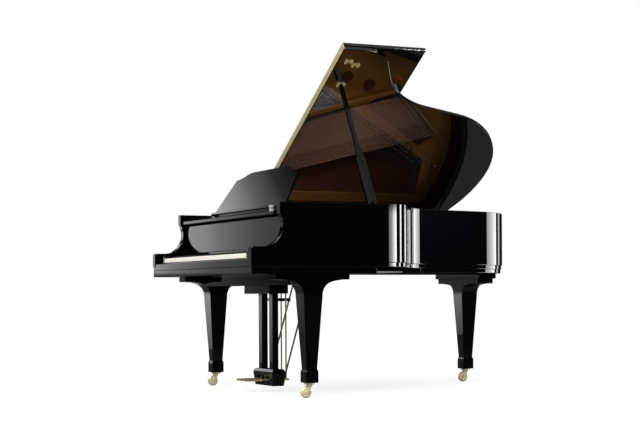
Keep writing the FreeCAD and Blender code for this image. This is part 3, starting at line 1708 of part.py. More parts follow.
def make_pedal_box():
    """Box with a bevelled top and drawn-in foot, slotted for the pedals, with their pivot pin."""
    half = pedal_box_half
    back = pedal_box_front + pedal_box_depth
    shoulder = pedal_box_top - pedal_box_bevel
    foot = pedal_box_foot / 2.0

    def level(inset, z):
        x = half - inset
        return [V(-x, pedal_box_front + inset, z), V(x, pedal_box_front + inset, z),
                V(x, back - inset, z), V(-x, back - inset, z)]

    body = tapered([level(foot, pedal_box_bottom), level(0.0, shoulder - foot), level(0.0, shoulder),
                    level(foot, pedal_box_top)])
    slot = pedal_slot_width / 2.0
    low = pedal_level - pedal_slot_height / 2.0
    for k in (-1.0, 0.0, 1.0):
        x = k * pedal_pitch
        body = body.cut(box(x - slot, x + slot, 0.0, case_length, low, low + pedal_slot_height))
    reach = V(pedal_pitch + pedal_slot_width, 0, 0)
    middle = V(0, pedal_pivot_y, pedal_level)
    return fused([body, rod(pedal_pin_diameter / 2.0, middle - reach, middle + reach)])


def make_pedal(place):
    """Flat lever with a broad rounded toe."""
    toe = pedal_toe_width / 2.0
    stem = pedal_stem_width / 2.0
    toe_mid = pedal_tip + toe
    toe_back = pedal_tip + pedal_toe_length
    neck = toe_back + pedal_toe_width
    z = pedal_level - pedal_thickness / 2.0

    def at(x, y):
        return V(x, y, z)

    edges = [
        arc(at(-toe, toe_mid), at(0, pedal_tip), at(toe, toe_mid)),
        line(at(toe, toe_mid), at(toe, toe_back)),
        *ogee(at(toe, toe_back), at(stem, neck), Y_AXIS),
        line(at(stem, neck), at(stem, pedal_end)),
        line(at(stem, pedal_end), at(-stem, pedal_end)),
        line(at(-stem, pedal_end), at(-stem, neck)),
        *ogee(at(-stem, neck), at(-toe, toe_back), -Y_AXIS),
        line(at(-toe, toe_back), at(-toe, toe_mid)),
    ]
    lever = profile(edges, V(0, 0, pedal_thickness))
    bore = pedal_pin_diameter / 2.0 + bore_gap
    lever = lever.cut(rod(bore, V(-toe, pedal_pivot_y, pedal_level), V(toe, pedal_pivot_y, pedal_level)))
    boss = rod(pedal_thickness, V(-stem, pedal_pivot_y, pedal_level), V(stem, pedal_pivot_y, pedal_level))
    boss = boss.cut(rod(bore, V(-toe, pedal_pivot_y, pedal_level), V(toe, pedal_pivot_y, pedal_level)))
    return moved(fused([lever, boss]), V(place * pedal_pitch, 0, 0))


def make_pedal_rod(place):
    x = place * pedal_pitch
    low = pedal_level + pedal_thickness / 2.0 + running_gap
    top = keybed_bottom - pedal_rod_travel_room
    return rod(pedal_rod_diameter / 2.0, V(x, pedal_rod_y, low), V(x, pedal_rod_y, top))


def make_lyre_braces():
    back = pedal_box_front + pedal_box_depth
    lean = math.radians(lyre_brace_lean)
    run = V(0, math.sin(lean), math.cos(lean))
    room = box(-case_width, case_width, back, case_length, 0.0, keybed_bottom)
    braces = []
    for x in (-lyre_brace_x, lyre_brace_x):
        start = V(x, back, lyre_brace_low)
        brace = rod(lyre_brace_diameter / 2.0, start - run * lyre_brace_low, start + run * rim_top)
        braces.append(brace.common(room).Solids[0])
    return Part.makeCompound(braces)


# Assembly: one file for each node

leg_places = {
    "bass": (-front_leg_x, front_leg_y, cap_half_length, keybed_bottom, 0),
    "treble": (front_leg_x, front_leg_y, cap_half_length, keybed_bottom, 0),
    "tail": (tail_leg_x, tail_leg_y, tail_cap_half_length,
             keybed_top - tail_plate_height - tail_block_height, 1),
}
pedal_places = {"soft": -1, "sostenuto": 0, "damper": 1}
all_notes = range(1, note_count + 1)
naturals = [note for note in all_notes if is_natural(note)]
sharps = [note for note in all_notes if not is_natural(note)]

nodes = {
    "rim": make_rim(),
    "rim_base": make_rim_base(),
    "inner_rim": make_inner_rim(),
    "case_framing": make_case_framing(),
    "keybed": make_keybed(),
    "key_slip": make_key_slip(),
    "key_blocks": make_key_blocks(),
    "name_rail": make_name_rail(),
    "stretcher": make_stretcher(),
    "pin_block": make_pin_block(),
    "iron_plate": make_iron_plate(),
    "soundboard": make_soundboard(),
    "soundboard_ribs": make_soundboard_ribs(),
    "bridges": make_bridges(),
    "plain_strings": make_strings(range(bass_notes + 1, note_count + 1)),
    "wound_strings": make_strings(range(1, bass_notes + 1)),
    "tuning_pins": make_tuning_pins(),
    "agraffes": make_agraffes(),
    "dampers": make_dampers(),
    "damper_guide_rail": make_damper_guide_rail(),
    "key_frame": make_key_frame(),
    "action_rail": make_action_rail(),
    "natural_keys": Part.makeCompound([make_natural_key(note) for note in naturals]),
    "sharp_keys": Part.makeCompound([make_sharp_key(note) for note in sharps]),
    "natural_hammers": Part.makeCompound([make_hammer(note) for note in naturals]),
    "sharp_hammers": Part.makeCompound([make_hammer(note) for note in sharps]),
    "fallboard": make_fallboard(),
    "music_rails": make_music_rails(),
    "music_shelf": make_music_shelf(),
    "music_desk": make_music_desk(),
    "desk_props": make_desk_props(),
    "lid": make_lid(),
    "lid_flap": make_lid_flap(),
    "lid_hinges_case": make_lid_hinges_case(),
    "lid_hinges": make_lid_hinges(),
    "flap_hinge": make_flap_hinge(),
    "lid_prop": make_lid_prop(),
    "short_prop": make_short_prop(),
    "prop_bracket": make_prop_bracket(),
    "prop_sockets": make_prop_sockets(),
    "tail_leg_plates": make_tail_leg_plates(),
    "lyre_frame": make_lyre_frame(),
    "pedal_box": make_pedal_box(),
    "lyre_braces": make_lyre_braces(),
}
for name, (x, y, half_cap, top, turns) in leg_places.items():
    nodes["leg_" + name] = make_leg(x, y, half_cap, top, turns)
    nodes["caster_fork_" + name] = make_caster_fork(x, y)
    nodes["caster_wheel_" + name] = make_caster_wheel(x, y)
for name, place in pedal_places.items():
    nodes[name + "_pedal"] = make_pedal(place)
    nodes[name + "_rod"] = make_pedal_rod(place)

os.makedirs("parts", exist_ok=True)
to_middle = V(0, -case_length / 2.0, 0)
for name, shape in nodes.items():
    placed = moved(shape, to_middle)
    placed.exportStep(os.path.join("parts", name + ".step"))
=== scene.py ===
"""Looks of a grand piano with its lid raised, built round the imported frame."""

import json
import math

import bmesh
import bpy
from bpy.props import FloatProperty, FloatVectorProperty, IntProperty, PointerProperty
from mathutils import Matrix, Vector
from mathutils.bvhtree import BVHTree


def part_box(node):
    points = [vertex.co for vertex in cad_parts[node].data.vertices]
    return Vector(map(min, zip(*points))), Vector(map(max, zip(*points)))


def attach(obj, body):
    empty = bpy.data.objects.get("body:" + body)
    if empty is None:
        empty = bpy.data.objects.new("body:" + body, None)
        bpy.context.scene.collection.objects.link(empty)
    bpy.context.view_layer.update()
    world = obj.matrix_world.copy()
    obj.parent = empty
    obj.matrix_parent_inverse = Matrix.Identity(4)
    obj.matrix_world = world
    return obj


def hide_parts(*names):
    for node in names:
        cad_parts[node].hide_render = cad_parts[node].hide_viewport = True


bl_info = {
    "name": "Grand Piano Looks",
    "version": (1, 0, 0),
    "blender": (4, 5, 0),
    "location": "3D View > Sidebar > Piano",
    "description": "Builds the finished looks of a grand piano round its packed frame",
    "category": "Object",
}

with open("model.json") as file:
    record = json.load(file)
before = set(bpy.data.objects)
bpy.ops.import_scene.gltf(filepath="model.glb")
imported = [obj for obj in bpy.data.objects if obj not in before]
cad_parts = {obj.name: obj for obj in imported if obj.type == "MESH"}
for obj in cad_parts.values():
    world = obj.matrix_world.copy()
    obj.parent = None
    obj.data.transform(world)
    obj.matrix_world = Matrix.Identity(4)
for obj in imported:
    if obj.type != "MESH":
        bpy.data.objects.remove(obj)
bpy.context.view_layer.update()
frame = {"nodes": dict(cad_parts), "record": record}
nodes = frame["nodes"]
bodies = frame["record"]["behaviour"]["bodies"]
body_of_node = {node: body for body, held in bodies.items() for node in held}

MM = 0.001
SAME_POINT = 2e-6  # CAD corners closer than this are one corner
SAME_FACE = math.radians(0.4)  # facets that meet flatter than this are one face
ROUNDED_FROM = math.radians(40.0)  # edges sharper than this are rounded
SMOOTH_TO = 35.0  # degrees up to which neighbouring faces share their shading
STUD_SMOOTH_TO = 50.0  # the same for small turned pieces
CAST_SMOOTH_TO = 40.0  # for the plate and the hinges
BRASS_SMOOTH_TO = 30.0  # for casters and pedals
LEG_SMOOTH_TO = 15.0  # for the flat-sided legs
FACING_SMOOTH_TO = 5.0  # for the flat facing of the fallboard
WAVE_SPAN = math.pi / 10.0  # length of one wave of a wave texture of scale 1
UPRIGHT = (0.0, 0.0, 0.0)
EVEN = (1.0, 1.0, 1.0)
DOWN = Vector((0.0, 0.0, -1.0))


def linear(code):
    """Linear colour of an sRGB hex value."""
    parts = [int(code[k:k + 2], 16) / 255.0 for k in (1, 3, 5)]
    return tuple(c / 12.92 if c <= 0.04045 else ((c + 0.055) / 1.055) ** 2.4 for c in parts)


def colour_value(name, code, description):
    return FloatVectorProperty(name=name, description=description, subtype="COLOR", size=3,
                               min=0.0, max=1.0, default=linear(code))


def length_value(name, size, description):
    return FloatProperty(name=name, description=description, unit="LENGTH", default=size * MM)


class PianoColours(bpy.types.PropertyGroup):
    """Colours of the finishes."""
    lacquer: colour_value("Lacquer", "#020203", "Polished black polyester")
    bronze: colour_value("Bronze", "#C98E48", "Bronze paint of the cast-iron plate")
    spruce_light: colour_value("Spruce, light", "#5E3426", "Early wood of the soundboard")
    spruce_dark: colour_value("Spruce, dark", "#45241C", "Late wood of the soundboard")
    maple: colour_value("Maple", "#C9A06A", "Bare maple of rails, pin block and shanks")
    brass: colour_value("Brass", "#E9DAA2", "Polished brass of hinges, sockets and agraffes")
    copper: colour_value("Copper", "#C2947C", "Copper winding of the bass strings")
    steel: colour_value("Steel", "#C9CBCE", "Steel wire")
    rod: colour_value("Rod", "#6F6B60", "Plated rods and braces of the lyre")
    # The caster colour is paler than the hinges' brass as painted reflection of the white studio the
    # casters mirror
    caster: colour_value("Caster", "#FBEFC2", "Bright brass of the casters")
    # The pedal colour is darker than the hinges' brass as painted shade of the dark floor the pedals
    # mirror
    pedal: colour_value("Pedal", "#B5A473", "Worn brass of the pedals")
    pin: colour_value("Pin", "#C4C4C8", "Plated pins of the strings")
    nickel: colour_value("Nickel", "#B4B4B8", "Plated knob on the music shelf")
    ivory: colour_value("Key white", "#F4F1E8", "Moulded tops of the naturals")
    ebony: colour_value("Key black", "#0C0C0D", "Moulded sharps")
    graphite: colour_value("Graphite", "#241A15", "Graphite rubbed on the bridges")
    felt: colour_value("Felt", "#E4DFD3", "Pressed wool of hammers and dampers")
    name_felt: colour_value("Name felt", "#7A1420", "Woven strip behind the keys")
    floor: colour_value("Floor", "#959595", "Studio floor under its own white glow")


class PianoSizes(bpy.types.PropertyGroup):
    """Sizes of what the frame leaves to the looks."""
    case_edge: length_value("Case edge", 1.6, "Rounding of the lacquered edges")
    fine_edge: length_value("Fine edge", 0.7, "Rounding of keys and fittings")
    plate_edge: length_value("Plate edge", 5.0, "Rounding of the cast plate's edges")
    bridge_edge: length_value("Bridge edge", 1.5, "Rounding of the bridges")
    pedal_edge: length_value("Pedal edge", 2.0, "Rounding of the pedals")
    unison_step: length_value("Unison step", 3.4, "Distance between the strings of one note")
    plain_gauge: length_value("Plain wire", 0.55, "Radius of the steel wire as drawn")
    damper_wire: length_value("Damper wire", 0.8, "Radius of the wire that carries a damper")
    pin_radius: length_value("Tuning pin", 3.4, "Radius of a tuning pin")
    hitch_radius: length_value("Hitch pin", 2.6, "Radius of a hitch pin")
    bridge_pin_radius: length_value("Bridge pin", 1.8, "Radius of a bridge pin")
    felt_thickness: length_value("Damper felt", 10.0, "Height of the felt under a damper head")
    string_sides: IntProperty(name="String sides", description="Facets round a string", default=5)


def colours():
    return bpy.context.scene.piano_colours


def sizes():
    return bpy.context.scene.piano_sizes


# Materials

def add_node(tree, kind, settings=None, values=None, links=None):
    """Adds a node with its settings, its plain input values and its links."""
    node = tree.nodes.new(kind)
    for key, value in (settings or {}).items():
        setattr(node, key, value)
    for key, value in (values or {}).items():
        node.inputs[key].default_value = value
    for key, source in (links or {}).items():
        tree.links.new(source, node.inputs[key])
    return node


def plain_finish(name, colour, roughness, **shader):
    """Material with one surface shader; returns it with its tree and shader node."""
    material = bpy.data.materials.new(name)
    material.use_nodes = True
    tree = material.node_tree
    surface = tree.nodes["Principled BSDF"]
    surface.inputs["Base Color"].default_value = (*colour, 1.0)
    surface.inputs["Roughness"].default_value = roughness
    for key, value in shader.items():
        surface.inputs[key.replace("_", " ")].default_value = value
    material.diffuse_color = (*colour, 1.0)
    return material, tree, surface


def grained(tree, surface, size, detail, strength, depth):
    """Fine relief over a surface, of grains about size metres across."""
    place = add_node(tree, "ShaderNodeTexCoord")
    grains = add_node(tree, "ShaderNodeTexNoise", values={"Scale": 1.0 / size, "Detail": detail},
                      links={"Vector": place.outputs["Object"]})
    bump = add_node(tree, "ShaderNodeBump", values={"Strength": strength, "Distance": depth},
                    links={"Height": grains.outputs["Fac"]})
    tree.links.new(bump.outputs["Normal"], surface.inputs["Normal"])


def bronze_finish():
    # Sprayed metallic paint over sand-cast iron: soft sparkle, fine sand texture of about 2 mm
    material, tree, surface = plain_finish("bronze painted cast iron", colours().bronze, 0.3,
                                           Metallic=0.78)
    grained(tree, surface, 2.0 * MM, 3.0, 0.12, 0.3 * MM)
    return material


def spruce_finish():
    # Quarter-sawn spruce under varnish: straight grain, rings 3 mm apart, drawn 7.9 mm to show
    c = colours()
    material, tree, surface = plain_finish("varnished spruce", c.spruce_light, 0.28)
    place = add_node(tree, "ShaderNodeTexCoord")
    grain_turn = (0.0, 0.0, math.radians(52.0))
    turned = add_node(tree, "ShaderNodeMapping", values={"Rotation": grain_turn},
                      links={"Vector": place.outputs["Object"]})
    rings = add_node(tree, "ShaderNodeTexWave", {"bands_direction": "X"},
                     {"Scale": WAVE_SPAN / (7.9 * MM), "Distortion": 1.2, "Detail": 2.0,
                      "Detail Scale": 0.6},
                     {"Vector": turned.outputs["Vector"]})
    tones = add_node(tree, "ShaderNodeMix", {"data_type": "RGBA"},
                     {6: (*c.spruce_light, 1.0), 7: (*c.spruce_dark, 1.0)}, {0: rings.outputs["Fac"]})
    tree.links.new(tones.outputs[2], surface.inputs["Base Color"])
    return material


def maple_finish():
    # Planed hard maple: pale, close grain with faint streaks about 6 mm wide and 150 mm long
    pale = tuple(colours().maple)
    dark = tuple(0.7 * c for c in pale)
    material, tree, surface = plain_finish("planed maple", pale, 0.45)
    place = add_node(tree, "ShaderNodeTexCoord")
    drawn = add_node(tree, "ShaderNodeMapping", values={"Scale": (1.0, 6.0 / 150.0, 1.0)},
                     links={"Vector": place.outputs["Object"]})
    streaks = add_node(tree, "ShaderNodeTexNoise", values={"Scale": 1.0 / (6.0 * MM), "Detail": 3.0},
                       links={"Vector": drawn.outputs["Vector"]})
    tones = add_node(tree, "ShaderNodeMix", {"data_type": "RGBA"},
                     {6: (*pale, 1.0), 7: (*dark, 1.0)}, {0: streaks.outputs["Fac"]})
    tree.links.new(tones.outputs[2], surface.inputs["Base Color"])
    return material


def copper_finish():
    # Copper wire wound close on a steel core: a fine ribbed glint, ribs of 1 mm drawn 3.95 mm to show
    material, tree, surface = plain_finish("wound copper wire", colours().copper, 0.3, Metallic=0.9)
    place = add_node(tree, "ShaderNodeTexCoord")
    ribs = add_node(tree, "ShaderNodeTexWave", {"bands_direction": "Y"},
                    {"Scale": WAVE_SPAN / (3.95 * MM)}, {"Vector": place.outputs["Object"]})
    bump = add_node(tree, "ShaderNodeBump", values={"Strength": 0.3, "Distance": 0.4 * MM},
                    links={"Height": ribs.outputs["Fac"]})
    tree.links.new(bump.outputs["Normal"], surface.inputs["Normal"])
    return material


def felt_finish(name, colour):
    # Pressed wool: no gloss, a soft fuzzy edge, fibres about 1 mm
    material, tree, surface = plain_finish(name, colour, 0.95, Sheen_Weight=0.3)
    grained(tree, surface, 1.0 * MM, 2.0, 0.25, 0.4 * MM)
    return material


def make_finishes():
    c = colours()
    return {
        # Sprayed and buffed polyester: a deep black that only shows what it mirrors
        "lacquer": plain_finish("polished black polyester", c.lacquer, 0.03, IOR=1.6)[0],
        # The lid's polyester, buffed longest: its underside mirrors the strings
        "lid_lacquer": plain_finish("mirror polished black polyester", c.lacquer, 0.03, IOR=2.1)[0],
        "bronze": bronze_finish(),
        "spruce": spruce_finish(),
        "maple": maple_finish(),
        "copper": copper_finish(),
        # Bridge tops rubbed with graphite: nearly black, a faint dull shine
        "graphite": plain_finish("graphited maple", c.graphite, 0.5)[0],
        # Drawn steel wire: bright, slightly soft highlights
        "steel": plain_finish("drawn steel", c.steel, 0.25, Metallic=1.0)[0],
        # Plated pins: small pale dots whatever they mirror
        "pin": plain_finish("plated steel pin", c.pin, 0.3, Metallic=0.3)[0],
        # Plated rods and braces: grey metal with a dull shine
        "dark_steel": plain_finish("plated steel rod", c.rod, 0.35, Metallic=0.6)[0],
        # Cast and buffed brass: warm mirror with a little softness
        "brass": plain_finish("polished brass", c.brass, 0.2, Metallic=0.5)[0],
        # Pedal brass: darker than the hinges as painted shade, standing in for the dark floor the pedals
        # mirror edge-on; also softer than the hinges
        "painted_dark_brass": plain_finish("worn pedal brass", c.pedal, 0.3, Metallic=0.6)[0],
        # Underside boards, stained and not polished: dull black, no mirror
        "stain": plain_finish("black stained underside", c.lacquer, 0.8, Specular_IOR_Level=0.05)[0],
        # Caster brass: paler and brighter than the hinges as painted reflection, standing in for the white
        # studio the casters mirror
        "painted_light_brass": plain_finish("caster brass painted bright", c.caster, 0.15, Metallic=0.35)[0],
        # Nickel plating: pale grey with a soft shine
        "nickel": plain_finish("nickel plate", c.nickel, 0.3, Metallic=0.3)[0],
        # Moulded acrylic key tops: white with a satin shine
        "ivory": plain_finish("white acrylic", c.ivory, 0.25, IOR=1.49)[0],
        # Moulded phenolic sharps: black with a satin shine
        "ebony": plain_finish("black phenolic", c.ebony, 0.35, IOR=1.55)[0],
        "felt": felt_finish("pressed wool felt", c.felt),
        "name_felt": felt_finish("woven name felt", c.name_felt),
        # Moulded rubber: dull black
        "rubber": plain_finish("black rubber", c.ebony, 0.7)[0],
    }


finishes = {}


def finish(name):
    if not finishes:
        finishes.update(make_finishes())
    return finishes[name]


# Pieces

def settle(obj, body, slot, *replaced):
    """The piece rides its body and stands for the nodes it replaces; its slot is not used."""
    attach(obj, body)
    if replaced:
        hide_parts(*replaced)
    return obj


def mesh_object(name, mesh):
    obj = bpy.data.objects.new(name.replace(" ", "_"), mesh)
    bpy.context.scene.collection.objects.link(obj)
    return obj


def from_net(name, net, material, smooth_to=SMOOTH_TO):
    """Mesh object from a net, smooth up to an angle in degrees."""
    mesh = bpy.data.meshes.new(name)
    net.to_mesh(mesh)
    net.free()
    mesh.materials.clear()
    mesh.materials.append(material)
    mesh.shade_smooth()
    mesh.set_sharp_from_angle(angle=math.radians(smooth_to))
    return mesh_object(name, mesh)


def merged_net(held):
    """Clean net from the loose triangles of CAD nodes."""
    net = bmesh.new()
    for node in held:
        net.from_mesh(nodes[node].data)
    bmesh.ops.remove_doubles(net, verts=net.verts[:], dist=SAME_POINT)
    bmesh.ops.dissolve_limit(net, angle_limit=SAME_FACE, verts=net.verts[:], edges=net.edges[:])
    for face in net.faces:
        face.material_index = 0
    return net


def rounded_copy(name, held, material, slot, edge, smooth_to=SMOOTH_TO):
    """Copy of CAD nodes of one body with small rounded edges that catch the light."""
    obj = from_net(name, merged_net(held), finish(material), smooth_to)
    if edge > 0.0:
        bevel = obj.modifiers.new("rounded edges", "BEVEL")
        bevel.width = edge
        bevel.segments = 2
        bevel.limit_method = "ANGLE"
        bevel.angle_limit = ROUNDED_FROM
        even = obj.modifiers.new("even normals", "WEIGHTED_NORMAL")
        even.weight = 100
        even.keep_sharp = True
    return settle(obj, body_of_node[held[0]], slot, *held)


def titled(kind, node):
    return kind + " " + node.replace("_", " ")


def lacquered(held, edge, material="lacquer"):
    """Rounded black copies of nodes, each a piece of its own."""
    return [rounded_copy(titled("lacquered", node), [node], material, "polished_black", edge)
            for node in held]


def stain_underside(obj):
    """Faces that look straight down are stained boards, not polished lacquer."""
    obj.data.materials.append(finish("stain"))
    straight_down = -0.99
    for face in obj.data.polygons:
        if face.normal.z < straight_down:
            face.material_index = 1


def solids_of(node):
    """Corner points of each separate solid of a node, sorted from bass to treble."""
    net = bmesh.new()
    net.from_mesh(nodes[node].data)
    bmesh.ops.remove_doubles(net, verts=net.verts[:], dist=SAME_POINT)
    seen = set()
    solids = []
    for start in net.verts:
        if start.index in seen:
            continue
        seen.add(start.index)
        group = [start]
        for vert in group:
            for edge in vert.link_edges:
                other = edge.other_vert(vert)
                if other.index not in seen:
                    seen.add(other.index)
                    group.append(other)
        solids.append([vert.co.copy() for vert in group])
    net.free()
    return sorted(solids, key=lambda points: sum(p.x for p in points) / len(points))


def corners_of(points):
    """Low and high corner of the box round some points."""
    low = Vector([min(p[k] for p in points) for k in range(3)])
    high = Vector([max(p[k] for p in points) for k in range(3)])
    return low, high


def foot_of(low, high):
    """Middle of a box's foot."""
    return (low.x + high.x) / 2.0, (low.y + high.y) / 2.0, low.z


def block(name, low, high, material):
    """Plain block between two corners."""
    net = bmesh.new()
    matrix = Matrix.Translation((low + high) / 2.0) @ Matrix.Diagonal((*(high - low), 1.0))
    bmesh.ops.create_cube(net, size=1.0, matrix=matrix)
    return from_net(name, net, finish(material))


def prism_net(outline, start, end):
    """Net of an outline of (y, z) pairs drawn out along X."""
    net = bmesh.new()
    caps = [[net.verts.new((x, y, z)) for y, z in outline] for x in (start, end)]
    for k in range(len(outline)):
        n = (k + 1) % len(outline)
        net.faces.new((caps[0][k], caps[0][n], caps[1][n], caps[1][k]))
    for cap in caps:
        net.faces.new(cap)
    bmesh.ops.recalc_face_normals(net, faces=net.faces[:])
    return net


def lathe_net(profile, segments, place):
    """Net of a profile of (radius, height) pairs turned about Z and then placed."""
    net = bmesh.new()
    turns = [2.0 * math.pi * k / segments for k in range(segments)]
    rings = []
    for radius, height in profile:
        if radius:
            ring = [(radius * math.cos(t), radius * math.sin(t), height) for t in turns]
        else:
            ring = [(0.0, 0.0, height)]
        rings.append([net.verts.new(point) for point in ring])
    for a, b in zip(rings, rings[1:]):
        for k in range(segments):
            n = (k + 1) % segments
            corners = [a[k % len(a)], a[n % len(a)], b[n % len(b)], b[k % len(b)]]
            corners = [v for i, v in enumerate(corners) if v not in corners[:i]]
            net.faces.new(corners)
    bmesh.ops.recalc_face_normals(net, faces=net.faces[:])
    bmesh.ops.transform(net, matrix=place, verts=net.verts[:])
    return net


# Geometry node trees

def group_tree(name, sizes_in):
    """Empty geometry tree with a mesh in, a mesh out and one named length for each size."""
    tree = bpy.data.node_groups.new(name, "GeometryNodeTree")
    tree.interface.new_socket("Geometry", in_out="INPUT", socket_type="NodeSocketGeometry")
    tree.interface.new_socket("Geometry", in_out="OUTPUT", socket_type="NodeSocketGeometry")
    keys = {}
    for label in sizes_in:
        socket = tree.interface.new_socket(label, in_out="INPUT", socket_type="NodeSocketFloat")
        keys[label] = socket.identifier
    return tree, keys


def grown(name, mesh, tree, keys, values, shapes, material):
    """Ends a tree with real, painted shapes, runs it on a mesh and returns a plain mesh object."""
    whole = add_node(tree, "GeometryNodeRealizeInstances", links={"Geometry": shapes})
    painted = add_node(tree, "GeometryNodeSetMaterial", values={"Material": material},
                       links={"Geometry": whole.outputs["Geometry"]})
    add_node(tree, "NodeGroupOutput", links={"Geometry": painted.outputs["Geometry"]})
    seed = mesh_object(name + " seed", mesh)
    modifier = seed.modifiers.new("grow", "NODES")
    modifier.node_group = tree
    for label, value in values.items():
        modifier[keys[label]] = value
    graph = bpy.context.evaluated_depsgraph_get()
    made = bpy.data.meshes.new_from_object(seed.evaluated_get(graph), depsgraph=graph)
    bpy.data.objects.remove(seed)
    bpy.data.meshes.remove(mesh)
    bpy.data.node_groups.remove(tree)
    made.name = name
    if not made.materials:
        made.materials.append(material)
    return mesh_object(name, made)


def wires(name, runs, material, sides):
    """Round wires along runs of (points, radius), grown from a net of edges."""
    mesh = bpy.data.meshes.new(name + " runs")
    points = []
    edges = []
    gauges = []
    for path, radius in runs:
        first = len(points)
        points.extend(path)
        gauges.extend([radius] * len(path))
        edges.extend((first + k, first + k + 1) for k in range(len(path) - 1))
    mesh.from_pydata(points, edges, [])
    gauge = mesh.attributes.new("gauge", "FLOAT", "POINT")
    gauge.data.foreach_set("value", gauges)
    tree, keys = group_tree(name + " tree", ["Gauge scale"])
    start = add_node(tree, "NodeGroupInput")
    curve = add_node(tree, "GeometryNodeMeshToCurve", links={"Mesh": start.outputs["Geometry"]})
    named = add_node(tree, "GeometryNodeInputNamedAttribute", {"data_type": "FLOAT"}, {"Name": "gauge"})
    scaled = add_node(tree, "ShaderNodeMath", {"operation": "MULTIPLY"},
                      links={0: named.outputs["Attribute"], 1: start.outputs["Gauge scale"]})
    thick = add_node(tree, "GeometryNodeSetCurveRadius",
                     links={"Curve": curve.outputs["Curve"], "Radius": scaled.outputs["Value"]})
    ring = add_node(tree, "GeometryNodeCurvePrimitiveCircle",
                    values={"Resolution": sides, "Radius": 1.0})
    tube = add_node(tree, "GeometryNodeCurveToMesh", values={"Fill Caps": True},
                    links={"Curve": thick.outputs["Curve"], "Profile Curve": ring.outputs["Curve"]})
    if "Scale" in tube.inputs:
        radius = add_node(tree, "GeometryNodeInputRadius")
        tree.links.new(radius.outputs["Radius"], tube.inputs["Scale"])
    return grown(name, mesh, tree, keys, {"Gauge scale": 1.0}, tube.outputs["Mesh"], material)


def stud(label, sides, foot, head, height, offset=UPRIGHT, turn=UPRIGHT, stretch=EVEN):
    """One shape of a small piece: a cone with those radii and that height, its foot at the offset.

    With no sides it is a block of those three lengths, its middle at the offset.
    """
    return label, sides, foot, head, height, offset, turn, stretch


def studs(name, places, parts, material, smooth=True):
    """The same small piece, made of studs, at many points."""
    mesh = bpy.data.meshes.new(name + " places")
    mesh.from_pydata(places, [], [])
    ends = (" foot", " head", " height")
    tree, keys = group_tree(name + " tree", [part[0] + end for part in parts for end in ends])
    start = add_node(tree, "NodeGroupInput")
    joined = add_node(tree, "GeometryNodeJoinGeometry")
    values = {}
    for label, sides, foot, head, height, offset, turn, stretch in parts:
        values.update(zip((label + end for end in ends), (foot, head, height)))
        foot_in, head_in, height_in = (start.outputs[label + end] for end in ends)
        if sides:
            shape = add_node(tree, "GeometryNodeMeshCone", values={"Vertices": sides},
                             links={"Radius Bottom": foot_in, "Radius Top": head_in, "Depth": height_in})
        else:
            span = add_node(tree, "ShaderNodeCombineXYZ",
                            links={"X": foot_in, "Y": head_in, "Z": height_in})
            shape = add_node(tree, "GeometryNodeMeshCube", links={"Size": span.outputs["Vector"]})
        put = add_node(tree, "GeometryNodeTransform",
                       values={"Translation": offset, "Rotation": turn, "Scale": stretch},
                       links={"Geometry": shape.outputs["Mesh"]})
        tree.links.new(put.outputs["Geometry"], joined.inputs["Geometry"])
    many = add_node(tree, "GeometryNodeInstanceOnPoints",
                    links={"Points": start.outputs["Geometry"], "Instance": joined.outputs["Geometry"]})
    obj = grown(name, mesh, tree, keys, values, many.outputs["Instances"], material)
    if smooth:
        obj.data.shade_smooth()
        obj.data.set_sharp_from_angle(angle=math.radians(STUD_SMOOTH_TO))
    return obj


# Operators

class PIANO_OT_case(bpy.types.Operator):
    """Lacquered case with its boards, the wood inside it and the felt behind the keys"""
    bl_idname = "piano.case"
    bl_label = "Case"

    def execute(self, context):
        boards = ("rim", "rim_base", "keybed", "key_slip", "key_blocks", "name_rail", "tail_leg_plates",
                  "music_rails")
        for node, board in zip(boards, lacquered(boards, sizes().case_edge)):
            if node in ("rim_base", "tail_leg_plates"):
                stain_underside(board)
        for node, material, slot in (("inner_rim", "maple", "maple"),
                                     ("case_framing", "spruce", "spruce"),
                                     ("stretcher", "lacquer", "polished_black"),
                                     ("pin_block", "maple", "maple"),
                                     ("damper_guide_rail", "maple", "maple"),
                                     ("soundboard", "spruce", "spruce"),
                                     ("soundboard_ribs", "spruce", "spruce"),
                                     ("key_frame", "maple", "maple"),
                                     ("action_rail", "maple", "maple")):
            rounded_copy(titled("plain", node), [node], material, slot, 0.0)
        rail_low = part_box("name_rail")[0]
        key_low, key_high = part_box("natural_keys")
        thick = 2.5 * MM
        above_keys = 1.0 * MM
        up_rail = 4.0 * MM
        felt = block("name felt", Vector((key_low.x, rail_low.y - thick, key_high.z + above_keys)),
                     Vector((key_high.x, rail_low.y, rail_low.z + up_rail)), "name_felt")
        settle(felt, "case", "felt")
        return {"FINISHED"}


class PIANO_OT_lid(bpy.types.Operator):
    """Lid and folded flap with their brass hinges, and the brass fittings of the prop"""
    bl_idname = "piano.lid"
    bl_label = "Lid"

    def execute(self, context):
        lacquered(("lid", "lid_flap"), sizes().case_edge, "lid_lacquer")
        for node in ("lid_hinges_case", "lid_hinges", "flap_hinge", "prop_sockets", "prop_bracket"):
            rounded_copy(titled("brass", node), [node], "brass", "brass", 0.0, CAST_SMOOTH_TO)
        return {"FINISHED"}


class PIANO_OT_props(bpy.types.Operator):
    """Long prop stick with the short one nested in it"""
    bl_idname = "piano.props"
    bl_label = "Props"

    def execute(self, context):
        lacquered(("lid_prop", "short_prop"), sizes().fine_edge)
        return {"FINISHED"}


